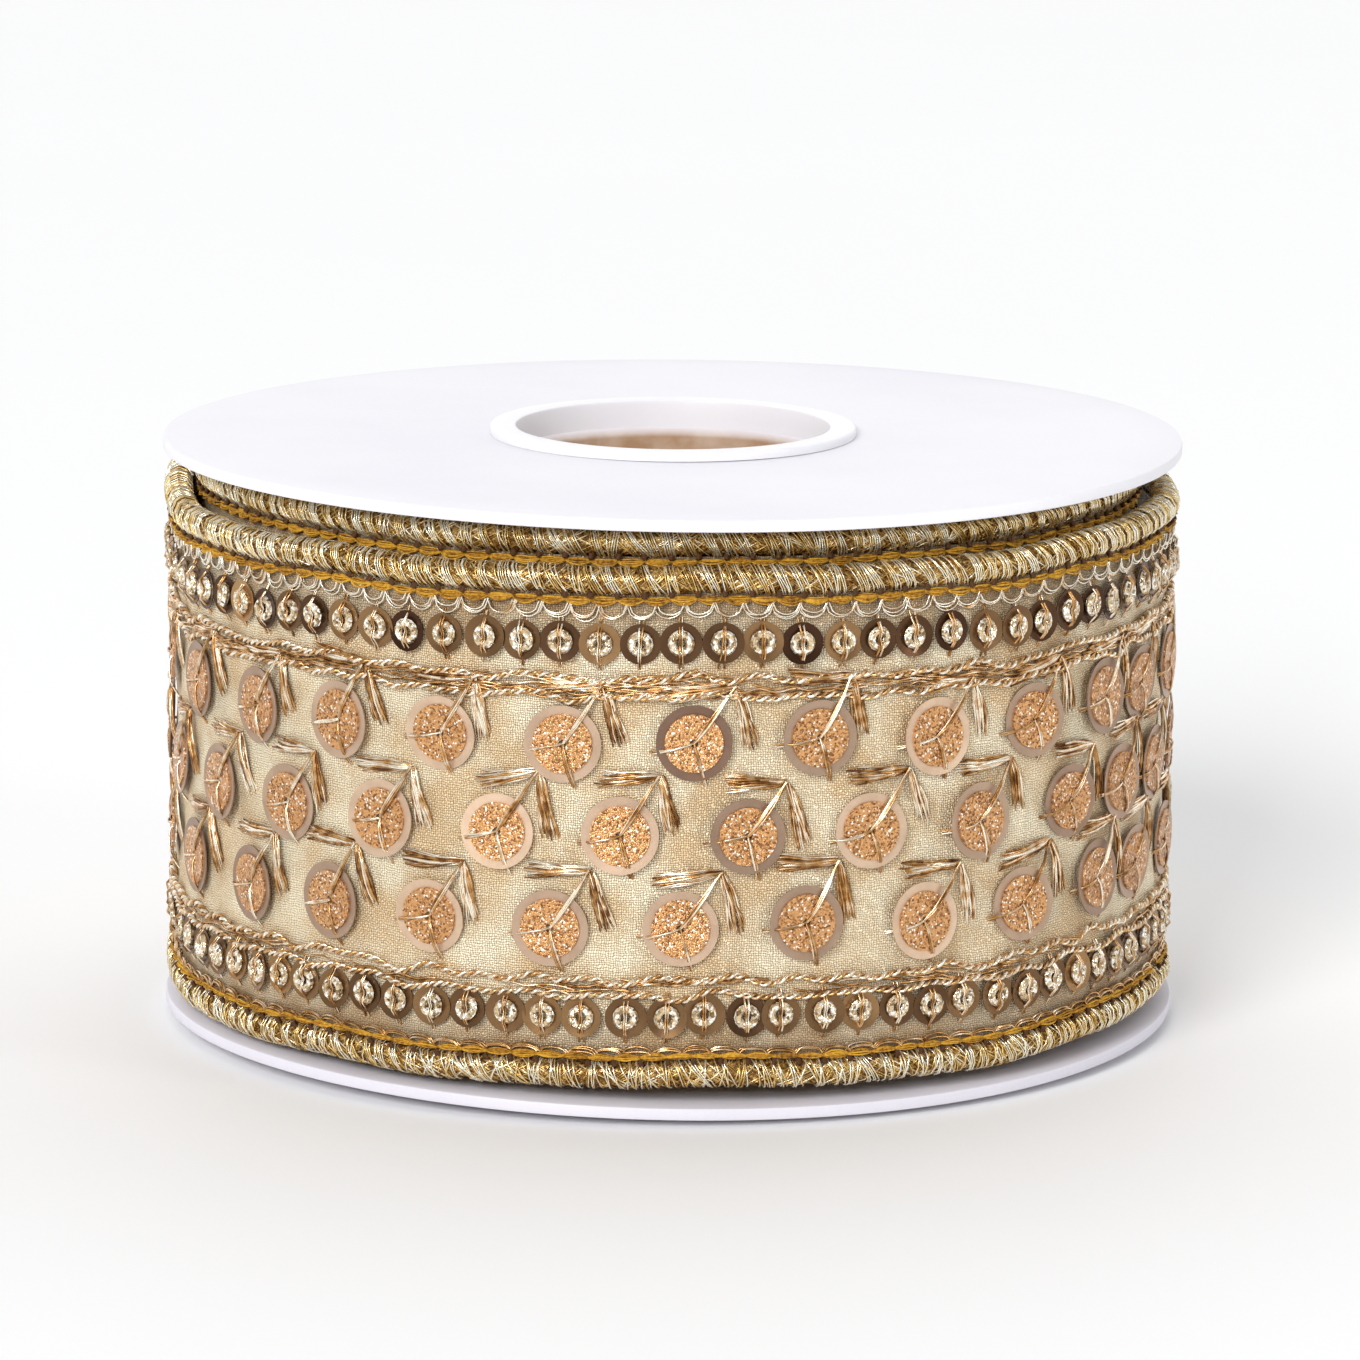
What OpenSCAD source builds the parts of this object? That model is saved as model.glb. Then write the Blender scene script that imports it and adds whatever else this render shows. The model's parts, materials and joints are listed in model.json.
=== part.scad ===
// Ribbon spool: two board discs on a two-piece snap-in plastic hub, wound with a corded,
// sequinned border ribbon about 2 m long.
// The origin is on the spool's axis at its lowest face. +Z runs up the hub and -Y is the front.
// The ribbon is a two-centre spiral: the front half of each turn is centred on the axis and the
// back half is centred half a pitch away, so every half turn is a true arc that meets the next.

/* [Spool] */
// Diameter of each board disc
disc_d = 100; // [98:1:106]
// Thickness of each board disc
disc_t = 1.2; // [1:0.1:1.6]
// Clear height between the two discs
disc_gap = 54.2; // [54.2:0.1:60]

/* [Hub] */
// Outer diameter of the core tube that the ribbon is wound on
tube_d = 32.4; // [31:0.2:33]
// Diameter of the bore, for a dispenser's rod
bore_d = 29.2; // [28:0.2:29.2]
// Diameter of the collar that covers each disc's hole
collar_d = 36; // [35.6:0.1:40]
// How far each collar stands out from its disc
collar_h = 0.85; // [0.6:0.05:1.5]
// Depth of the wide mouth at each end of the bore
mouth_depth = 2.7; // [2:0.1:5]
// How far the upper half plugs into the lower half
spigot_len = 12; // [8:1:20]

/* [Ribbon] */
// Width of the ribbon over its two edge cords
ribbon_w = 49.5; // [49:0.1:50]
// Diameter of each edge cord
cord_d = 2.9; // [2.6:0.1:3]
// Thickness of the ground cloth
cloth_t = 0.5; // [0.4:0.1:0.6]
// Full turns under the outermost turn
turns = 9; // [6:1:10]
// How much lower the outermost turn sits than the turns under it
outer_drop = 3; // [1:0.5:3]
// Angle past the right-hand side at which the free end stops
tail_angle = 30; // [20:1:40]

/* [Trim] */
// Spacing of the small border sequins
border_pitch = 3.73; // [3.73:0.01:5]
// Diameter of a small border sequin
border_sequin_d = 3.7; // [3:0.1:3.7]
// Spacing of the large sequins along a row
row_pitch = 11.7; // [11.7:0.1:14]
// Diameter of a large sequin
row_sequin_d = 7.2; // [6:0.1:7.2]
// Diameter of the glitter disc on each large sequin
glitter_disc_d = 5.5; // [4:0.1:6]

/* [Hidden] */
$fn = 96;
disc_r = disc_d / 2;
tube_r = tube_d / 2;
bore_r = bore_d / 2;
collar_r = collar_d / 2;
cord_r = cord_d / 2;

// Heights
axial_play = 0.05;
lower_disc_z = collar_h + axial_play;
upper_disc_z = lower_disc_z + disc_t + disc_gap;
spool_h = upper_disc_z + disc_t + axial_play + collar_h;
mid_z = spool_h / 2;

// Hub fits: the neck carries the disc, the snap bead keeps it from sliding inwards
neck_step = 0.6;
disc_play = 0.06;
snap_bead_step = 0.5;
snap_bead_slope = 0.2;
snap_bead_h = 0.4;
mouth_step = 0.8;
mouth_cone_h = 0.8;
collar_edge = 0.25;
spigot_wall = 0.8;
socket_play = 0.3;
neck_r = tube_r + neck_step;
disc_hole_r = neck_r + disc_play;
snap_bead_r = neck_r + snap_bead_step;
mouth_r = bore_r + mouth_step;
spigot_r = bore_r + spigot_wall;
through = 1;

// Route of the ribbon, as radii of the edge cords' centre line
winding_play = 0.15;
outer_r = disc_r - winding_play - cord_r;
first_r = tube_r + winding_play + cord_r;
pitch = (outer_r - first_r) / turns;
slant_r = outer_r - pitch / 2;
slant_slope = outer_drop / (2 * slant_r);
slant_angle = atan(slant_slope);
tail_r = outer_r + pitch / 2;
tail_start = 0.35;

// Heights of the ribbon: the outermost turn sits low, the turns under it sit high
ribbon_drop = 1.15;
outer_z = mid_z - ribbon_drop;
wound_z = outer_z + outer_drop;
slant_z = outer_z + outer_drop / 2;

// Across the ribbon, measured from its centre line
seam_gap = 0.02;
cord_v = ribbon_w / 2 - cord_r;
cloth_v = cord_v - cord_r - seam_gap;
stitch_v = 21.6;
scallop_v = 20.7;
scallop_w = 1;
border_v = 17.7;
upper_braid_v = [14.3, 12.45];
lower_braid_v = [-14.2, -15.8];
upper_row_v = 8.2;
middle_row_v = -0.6;
lower_row_v = -9.3;

// Through the ribbon, measured outwards from the cords' centre line
cloth_out = 0.35;
stitch_r = 0.33;
stitch_out = 0.75;
scallop_t = 0.25;
braid_r = 0.4;
braid_out = 1.1;
lay_gap = 0.01;

// Trim pieces
sequin_t = 0.2;
glitter_disc_t = 0.3;
bead_ring_r = 0.8;
bead_tube_r = 0.42;
thread_d = 0.3;
thread_len = 0.5;
thread_gap = 0.1;

// Leaf stitches, measured from their sequin's centre along and across the ribbon
leaf_w = 0.8;
leaf_t = 0.2;
side_leaf_at = [0.4, 5.4];
side_leaf_len = 5.6;
knot_at = [3.6, 5.4];
knot_r = 0.3;
down_leaf_at = [4.45, 2.1];
down_leaf_len = 5.2;
down_leaf_turn = -81;

// Pad under the ribbon's inner end
pad_play = 0.05;
pad_h = 18;
pad_start = 184;
pad_angle = 30;

// Arc lengths at the cloth's face
face_r = outer_r + cloth_out;
slant_face_r = slant_r + cloth_out;
tail_face_r = tail_r + cloth_out;
front_len = PI * face_r;
slant_len = PI * slant_face_r;
tail_len = tail_face_r * (tail_angle - tail_start) * PI / 180;

// Room that a large sequin and its leaf stitches need before the end of a half turn
row_edge = row_sequin_d / 2 + 0.3;
leaf_edge = 5.6;

// Where each row's first large sequin lies along the front, the slanted half and the tail
upper_first = [8.5, 14.9, 10.75];
middle_first = [13.35, 9, 3.9];
lower_first = [7.6, 14.2, 9.85];

// Colours
BOARD = [0.95, 0.94, 0.95];
HUB = [0.86, 0.85, 0.89, 0.7];
ZARI = [0.78, 0.68, 0.5];
OCHRE = [0.75, 0.55, 0.13];
TISSUE = [0.82, 0.74, 0.55];
BRONZE = [0.42, 0.29, 0.18];
ROSE_GOLD = [0.8, 0.63, 0.52];
COPPER = [0.8, 0.55, 0.33];
CRYSTAL = [0.85, 0.86, 0.88];
PALE_GOLD = [0.82, 0.74, 0.6];
FOAM = [0.93, 0.93, 0.9];

// ---- Half turns. The children are a flat section: X outwards from the cords' centre line,
// ---- Y across the ribbon, measured from the height given.

module front_half(r, z) {
    translate([0, 0, z])
        rotate([0, 0, 180])
            rotate_extrude(angle = 180)
                translate([r, 0])
                    children();
}

module back_half(r, z) {
    translate([-pitch / 2, 0, z])
        rotate_extrude(angle = 180)
            translate([r, 0])
                children();
}

// The last back half comes down from the wound turns to the outermost turn. A narrow part is
// tilted about its own height, and a part with a flat wall is sheared so that the wall stays
// upright.
module tilted_half(v) {
    translate([-pitch / 2, 0, slant_z + v])
        rotate([0, -slant_angle, 0])
            rotate_extrude(angle = 180)
                translate([slant_r, 0])
                    children();
}

module sheared_half(v) {
    translate([-pitch / 2, 0, slant_z + v])
        multmatrix([[1, 0, 0, 0], [0, 1, 0, 0], [slant_slope, 0, 1, 0], [0, 0, 0, 1]])
            rotate_extrude(angle = 180)
                translate([slant_r, 0])
                    children();
}

module tail_arc(v = 0) {
    translate([-pitch / 2, 0, outer_z + v])
        rotate([0, 0, tail_start])
            rotate_extrude(angle = tail_angle - tail_start)
                translate([tail_r, 0])
                    children();
}

module outer_turn(v) {
    tilted_half(v)
        children();
    front_half(outer_r, outer_z + v)
        children();
}

module outer_wall(v = 0) {
    sheared_half(v)
        children();
    front_half(outer_r, outer_z + v)
        children();
}

module wound_turns(v = 0) {
    for (k = [0 : turns - 1])
        front_half(first_r + k * pitch, wound_z + v)
            children();
    for (k = [0 : turns - 2])
        back_half(first_r + (k + 0.5) * pitch, wound_z + v)
            children();
}

// ---- Places on the cloth's face. The children have X along the ribbon, Y across it and
// ---- Z outwards, with zero on the face.

module on_face(r, s, v) {
    rotate([0, 0, s / r * 180 / PI])
        translate([r + lay_gap, 0, v])
            rotate([90, 0, 90])
                children();
}

module on_front(s, v) {
    translate([0, 0, outer_z])
        rotate([0, 0, 180])
            on_face(face_r, s, v)
                children();
}

module on_slant(s, v) {
    drop = slant_slope * slant_face_r * cos(s / slant_face_r * 180 / PI);
    translate([-pitch / 2, 0, slant_z])
        on_face(slant_face_r, s, v + drop)
            children();
}

module on_tail(s, v) {
    translate([-pitch / 2, 0, outer_z])
        rotate([0, 0, tail_start])
            on_face(tail_face_r, s, v)
                children();
}

// Places of the small border sequins along an arc of a given length
function border_places(length) =
    let (count = floor(length / border_pitch))
    [for (i = [0 : count - 1]) (i + 0.5) * length / count];

module along_outer_border(v) {
    for (s = border_places(front_len))
        on_front(s, v)
            children();
    for (s = border_places(slant_len))
        on_slant(s, v)
            children();
}

module along_tail_border(v) {
    for (s = border_places(tail_len))
        on_tail(s, v)
            children();
}

// A row's pieces, moved by a step along and across from each large sequin's centre
module along_outer_row(first, v, step = [0, 0], edge = row_edge) {
    for (s = [first[0] : row_pitch : front_len - edge])
        on_front(s + step[0], v + step[1])
            children();
    for (s = [first[1] : row_pitch : slant_len - edge])
        on_slant(s + step[0], v + step[1])
            children();
}

module along_tail_row(first, v, step) {
    for (s = [first[2] : row_pitch : tail_len - row_edge])
        on_tail(s + step[0], v + step[1])
            children();
}

module all_tail_rows(step = [0, 0]) {
    along_tail_row(upper_first, upper_row_v, step)
        children();
    along_tail_row(middle_first, middle_row_v, step)
        children();
    along_tail_row(lower_first, lower_row_v, step)
        children();
}

// ---- Flat sections of the ribbon's running parts

module cloth_section() {
    translate([cloth_out - cloth_t, -cloth_v])
        square([cloth_t, 2 * cloth_v]);
}

module cord_section() {
    circle(r = cord_r);
}

module stitch_section() {
    translate([stitch_out, 0])
        circle(r = stitch_r, $fn = 32);
}

module scallop_section() {
    translate([cloth_out + lay_gap, -scallop_w / 2])
        square([scallop_t, scallop_w]);
}

module braid_section() {
    translate([braid_out, 0])
        circle(r = braid_r, $fn = 32);
}

// ---- Single trim pieces, lying on the face

module border_sequin() {
    cylinder(d = border_sequin_d, h = sequin_t, $fn = 32);
}

module row_sequin() {
    cylinder(d = row_sequin_d, h = sequin_t, $fn = 48);
}

module glitter_disc() {
    translate([0, 0, sequin_t + lay_gap])
        cylinder(d = glitter_disc_d, h = glitter_disc_t, $fn = 48);
}

// A ring bead standing on its sequin with its hole facing outwards
module seed_bead() {
    translate([0, 0, sequin_t + lay_gap + bead_tube_r])
        rotate_extrude($fn = 32)
            translate([bead_ring_r, 0])
                circle(r = bead_tube_r, $fn = 24);
}

// The two ends of a bead's thread, above and below its sequin
module bead_thread() {
    for (side = [-1, 1])
        translate([0, side * (border_sequin_d / 2 + thread_gap + thread_len / 2), thread_d / 2])
            rotate([90, 0, 0])
                cylinder(d = thread_d, h = thread_len, center = true, $fn = 16);
}

// One bundle of metallic strands, centred on its own middle
module leaf(length, turn = 0) {
    rotate([0, 0, turn])
        translate([-length / 2, -leaf_w / 2, 0])
            cube([length, leaf_w, leaf_t]);
}

module knot() {
    cylinder(r = knot_r, h = leaf_t, $fn = 24);
}

// ---- Spool

module disc(z) {
    color(BOARD)
        translate([0, 0, z])
            difference() {
                cylinder(r = disc_r, h = disc_t, $fn = 180);
                translate([0, 0, -through])
                    cylinder(r = disc_hole_r, h = disc_t + 2 * through);
            }
}

module lower_disc() {
    disc(lower_disc_z);
}

module upper_disc() {
    disc(upper_disc_z);
}

// Section of one hub half from its collar face, at zero, to the line where the halves meet
module hub_section() {
    neck_top = collar_h + disc_t + 2 * axial_play;
    polygon([
        [mouth_r, 0],
        [collar_r - collar_edge, 0],
        [collar_r, collar_edge],
        [collar_r, collar_h],
        [neck_r, collar_h],
        [neck_r, neck_top],
        [snap_bead_r, neck_top],
        [snap_bead_r - snap_bead_slope, neck_top + snap_bead_h],
        [tube_r, neck_top + snap_bead_h],
        [tube_r, mid_z],
        [bore_r, mid_z],
        [bore_r, mouth_depth + mouth_cone_h],
        [mouth_r, mouth_depth]
    ]);
}

module lower_hub_half() {
    color(HUB)
        difference() {
            rotate_extrude()
                hub_section();
            translate([0, 0, mid_z - spigot_len - socket_play])
                cylinder(r = spigot_r, h = spigot_len + socket_play + through);
        }
}

module upper_hub_half() {
    color(HUB) {
        translate([0, 0, spool_h])
            mirror([0, 0, 1])
                rotate_extrude()
                    hub_section();
        translate([0, 0, mid_z - spigot_len])
            rotate_extrude()
                translate([bore_r, 0])
                    square([spigot_r - bore_r, spigot_len]);
    }
}

// Foam pad that sticks the ribbon's inner end to the core
module start_pad() {
    color(FOAM)
        translate([0, 0, wound_z - pad_h / 2])
            rotate([0, 0, pad_start])
                rotate_extrude(angle = pad_angle)
                    translate([tube_r + pad_play, 0])
                        square([first_r + cloth_out - cloth_t - tube_r - 2 * pad_play, pad_h]);
}

// ---- Wound turns

module winding_cloth() {
    color(TISSUE)
        wound_turns()
            cloth_section();
}

module winding_upper_cord() {
    color(ZARI)
        wound_turns(cord_v)
            cord_section();
}

module winding_lower_cord() {
    color(ZARI)
        wound_turns(-cord_v)
            cord_section();
}

module winding_upper_stitch() {
    color(OCHRE)
        wound_turns(stitch_v)
            stitch_section();
}

module winding_lower_stitch() {
    color(OCHRE)
        wound_turns(-stitch_v)
            stitch_section();
}

// ---- Outermost turn

module outer_cloth() {
    color(TISSUE)
        outer_wall()
            cloth_section();
}

module outer_upper_cord() {
    color(ZARI)
        outer_turn(cord_v)
            cord_section();
}

module outer_lower_cord() {
    color(ZARI)
        outer_turn(-cord_v)
            cord_section();
}

module outer_upper_stitch() {
    color(OCHRE)
        outer_turn(stitch_v)
            stitch_section();
}

module outer_lower_stitch() {
    color(OCHRE)
        outer_turn(-stitch_v)
            stitch_section();
}

module upper_scallop_thread() {
    color(ZARI)
        outer_wall(scallop_v)
            scallop_section();
}

module lower_scallop_thread() {
    color(ZARI)
        outer_wall(-scallop_v)
            scallop_section();
}

module upper_border_sequins() {
    color(BRONZE)
        along_outer_border(border_v)
            border_sequin();
}

module lower_border_sequins() {
    color(BRONZE)
        along_outer_border(-border_v)
            border_sequin();
}

module upper_seed_beads() {
    color(CRYSTAL)
        along_outer_border(border_v)
            seed_bead();
}

module lower_seed_beads() {
    color(CRYSTAL)
        along_outer_border(-border_v)
            seed_bead();
}

module bead_threads() {
    color(PALE_GOLD)
        for (v = [-border_v, border_v])
            along_outer_border(v)
                bead_thread();
}

module upper_couching_braid() {
    color(ZARI)
        for (v = upper_braid_v)
            outer_turn(v)
                braid_section();
}

module lower_couching_braid() {
    color(ZARI)
        for (v = lower_braid_v)
            outer_turn(v)
                braid_section();
}

module upper_row_sequins() {
    color(ROSE_GOLD)
        along_outer_row(upper_first, upper_row_v)
            row_sequin();
}

module middle_row_sequins() {
    color(ROSE_GOLD)
        along_outer_row(middle_first, middle_row_v)
            row_sequin();
}

module lower_row_sequins() {
    color(ROSE_GOLD)
        along_outer_row(lower_first, lower_row_v)
            row_sequin();
}

module upper_glitter_discs() {
    color(COPPER)
        along_outer_row(upper_first, upper_row_v)
            glitter_disc();
}

module middle_glitter_discs() {
    color(COPPER)
        along_outer_row(middle_first, middle_row_v)
            glitter_disc();
}

module lower_glitter_discs() {
    color(COPPER)
        along_outer_row(lower_first, lower_row_v)
            glitter_disc();
}

// A leaf along the ribbon, a knot at its end and a leaf down beside each large sequin
module leaf_stitches(first, v) {
    color(PALE_GOLD) {
        along_outer_row(first, v, side_leaf_at, leaf_edge)
            leaf(side_leaf_len);
        along_outer_row(first, v, knot_at, leaf_edge)
            knot();
        along_outer_row(first, v, down_leaf_at, leaf_edge)
            leaf(down_leaf_len, down_leaf_turn);
    }
}

module upper_leaf_stitches() {
    leaf_stitches(upper_first, upper_row_v);
}

module middle_leaf_stitches() {
    leaf_stitches(middle_first, middle_row_v);
}

module lower_leaf_stitches() {
    leaf_stitches(lower_first, lower_row_v);
}

// ---- Free end

module tail_cloth() {
    color(TISSUE)
        tail_arc()
            cloth_section();
}

module tail_upper_cord() {
    color(ZARI)
        tail_arc(cord_v)
            cord_section();
}

module tail_lower_cord() {
    color(ZARI)
        tail_arc(-cord_v)
            cord_section();
}

module tail_upper_stitch() {
    color(OCHRE)
        tail_arc(stitch_v)
            stitch_section();
}

module tail_lower_stitch() {
    color(OCHRE)
        tail_arc(-stitch_v)
            stitch_section();
}

module tail_scallop_threads() {
    color(ZARI)
        for (v = [-scallop_v, scallop_v])
            tail_arc(v)
                scallop_section();
}

module tail_border_sequins() {
    color(BRONZE)
        for (v = [-border_v, border_v])
            along_tail_border(v)
                border_sequin();
}

module tail_seed_beads() {
    color(CRYSTAL)
        for (v = [-border_v, border_v])
            along_tail_border(v)
                seed_bead();
}

module tail_bead_threads() {
    color(PALE_GOLD)
        for (v = [-border_v, border_v])
            along_tail_border(v)
                bead_thread();
}

module tail_couching_braids() {
    color(ZARI)
        for (v = concat(upper_braid_v, lower_braid_v))
            tail_arc(v)
                braid_section();
}

module tail_row_sequins() {
    color(ROSE_GOLD)
        all_tail_rows()
            row_sequin();
}

module tail_glitter_discs() {
    color(COPPER)
        all_tail_rows()
            glitter_disc();
}

module tail_leaf_stitches() {
    color(PALE_GOLD) {
        all_tail_rows(side_leaf_at)
            leaf(side_leaf_len);
        all_tail_rows(knot_at)
            knot();
    }
}

lower_disc();
upper_disc();
lower_hub_half();
upper_hub_half();
start_pad();
winding_cloth();
winding_upper_cord();
winding_lower_cord();
winding_upper_stitch();
winding_lower_stitch();
outer_cloth();
outer_upper_cord();
outer_lower_cord();
outer_upper_stitch();
outer_lower_stitch();
upper_scallop_thread();
lower_scallop_thread();
upper_border_sequins();
lower_border_sequins();
upper_seed_beads();
lower_seed_beads();
bead_threads();
upper_couching_braid();
lower_couching_braid();
upper_row_sequins();
middle_row_sequins();
lower_row_sequins();
upper_glitter_discs();
middle_glitter_discs();
lower_glitter_discs();
upper_leaf_stitches();
middle_leaf_stitches();
lower_leaf_stitches();
tail_cloth();
tail_upper_cord();
tail_lower_cord();
tail_upper_stitch();
tail_lower_stitch();
tail_scallop_threads();
tail_border_sequins();
tail_seed_beads();
tail_bead_threads();
tail_couching_braids();
tail_row_sequins();
tail_glitter_discs();
tail_leaf_stitches();
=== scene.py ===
import json
import logging
import math
from dataclasses import dataclass, replace
from enum import Enum
from typing import Any, ClassVar, Sequence

import bpy
import numpy as np
from mathutils import Euler, Matrix, Vector


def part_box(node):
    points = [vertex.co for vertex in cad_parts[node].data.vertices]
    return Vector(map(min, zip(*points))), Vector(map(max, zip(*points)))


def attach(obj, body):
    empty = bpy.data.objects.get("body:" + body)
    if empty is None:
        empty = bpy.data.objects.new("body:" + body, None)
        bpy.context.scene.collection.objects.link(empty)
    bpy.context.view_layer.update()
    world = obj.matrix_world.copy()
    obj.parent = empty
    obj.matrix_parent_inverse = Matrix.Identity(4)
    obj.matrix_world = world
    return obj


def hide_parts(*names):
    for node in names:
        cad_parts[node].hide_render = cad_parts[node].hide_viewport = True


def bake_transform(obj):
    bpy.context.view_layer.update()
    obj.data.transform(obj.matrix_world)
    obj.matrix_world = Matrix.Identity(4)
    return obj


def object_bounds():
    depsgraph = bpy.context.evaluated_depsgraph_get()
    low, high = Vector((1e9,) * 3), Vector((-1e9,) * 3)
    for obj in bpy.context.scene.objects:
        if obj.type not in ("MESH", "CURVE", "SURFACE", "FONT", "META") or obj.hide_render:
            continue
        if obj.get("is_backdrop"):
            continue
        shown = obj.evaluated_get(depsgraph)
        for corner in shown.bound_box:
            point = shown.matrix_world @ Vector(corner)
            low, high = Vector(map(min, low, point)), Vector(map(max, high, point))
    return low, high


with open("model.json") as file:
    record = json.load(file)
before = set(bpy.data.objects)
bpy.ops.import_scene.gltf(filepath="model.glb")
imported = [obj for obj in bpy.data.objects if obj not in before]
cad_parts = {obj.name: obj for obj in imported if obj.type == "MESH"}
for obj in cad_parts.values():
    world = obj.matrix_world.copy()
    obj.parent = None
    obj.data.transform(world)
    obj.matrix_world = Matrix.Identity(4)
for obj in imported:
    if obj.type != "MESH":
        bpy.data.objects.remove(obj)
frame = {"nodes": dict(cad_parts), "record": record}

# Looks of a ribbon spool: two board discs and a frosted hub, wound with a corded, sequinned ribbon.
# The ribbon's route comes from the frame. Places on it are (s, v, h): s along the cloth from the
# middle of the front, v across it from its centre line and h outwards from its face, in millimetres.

LOG = logging.getLogger("ribbon_spool")
MM = 0.001
FULL_TURN = 2 * math.pi
BEAD_SIDES = 6
Colour = tuple[float, float, float]


class Body(str, Enum):
    """The rigid bodies that pieces ride on."""

    CORE = "core_and_ribbon"
    LOWER_DISC = "lower_disc"
    UPPER_DISC = "upper_disc"
    FREE_END = "free_end"


class Slot(str, Enum):
    """The record's material slots."""

    BOARD = "board"
    HUB = "hub_plastic"
    TISSUE = "tissue_cloth"
    CORD = "zari_cord"
    ZARI = "zari_thread"
    OCHRE = "ochre_thread"
    BRONZE = "bronze_sequin"
    CRYSTAL = "crystal_bead"
    PALE = "pale_thread"
    ROSE = "rose_sequin"
    COPPER = "copper_glitter"


# ---------------------------------------------------------------------------- node trees


class Graph:
    """Adds nodes and links to one node tree."""

    def __init__(self, tree: bpy.types.NodeTree) -> None:
        """Wraps a tree.

        Args:
            tree: the shader or geometry tree to add to.
        """
        self.tree = tree

    def add(
            self, kind: str, inputs: dict[Any, Any] | None = None, **settings: Any,
    ) -> bpy.types.Node:
        """Adds a node.

        Args:
            kind: the node's type name.
            inputs: socket name or index to a value or to another node's output socket.
            **settings: the node's own properties.

        Returns:
            The new node.
        """
        node = self.tree.nodes.new(kind)
        for name, value in settings.items():
            setattr(node, name, value)
        for key, value in (inputs or {}).items():
            if isinstance(value, bpy.types.NodeSocket):
                self.tree.links.new(value, node.inputs[key])
            else:
                node.inputs[key].default_value = value
        return node

    def math(self, operation: str, a: Any, b: Any = 0.0, clamp: bool = False) -> bpy.types.NodeSocket:
        """Adds a maths node and returns its result."""
        return self.add("ShaderNodeMath", {0: a, 1: b}, operation=operation, use_clamp=clamp).outputs[0]

    def mix(self, factor: Any, a: Any, b: Any) -> bpy.types.NodeSocket:
        """Adds a colour mix and returns its result."""
        return self.add("ShaderNodeMix", {0: factor, 6: a, 7: b}, data_type="RGBA").outputs[2]

    def spread(
            self, value: Any, low: float, high: float, to_low: float = 0.0, to_high: float = 1.0,
    ) -> bpy.types.NodeSocket:
        """Adds a clamped map range and returns its result."""
        inputs = {"Value": value, "From Min": low, "From Max": high, "To Min": to_low, "To Max": to_high}
        return self.add("ShaderNodeMapRange", inputs).outputs[0]

    def noise(self, vector: Any, scale: Any, detail: float = 2.0) -> bpy.types.Node:
        """Adds a noise texture."""
        return self.add("ShaderNodeTexNoise", {"Vector": vector, "Scale": scale, "Detail": detail})


def four(colour: Colour) -> tuple[float, float, float, float]:
    """Adds a full alpha to a colour."""
    return (*colour, 1.0)


def new_group(
        name: str, inputs: Sequence[tuple[str, str, Any]], outputs: Sequence[tuple[str, str]],
) -> tuple[Graph, Any, Any]:
    """Starts a shader node group.

    Args:
        name: the group's name.
        inputs: (name, socket type, default value or None) for each input.
        outputs: (name, socket type) for each output.

    Returns:
        The group's graph, its input node and its output node.
    """
    tree = bpy.data.node_groups.new(name, "ShaderNodeTree")
    for label, kind, value in inputs:
        socket = tree.interface.new_socket(label, in_out="INPUT", socket_type=kind)
        if value is not None:
            socket.default_value = value
    for label, kind in outputs:
        tree.interface.new_socket(label, in_out="OUTPUT", socket_type=kind)
    graph = Graph(tree)
    return graph, graph.add("NodeGroupInput"), graph.add("NodeGroupOutput")


VALUE, COLOUR, VECTOR = "NodeSocketFloat", "NodeSocketColor", "NodeSocketVector"


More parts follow.
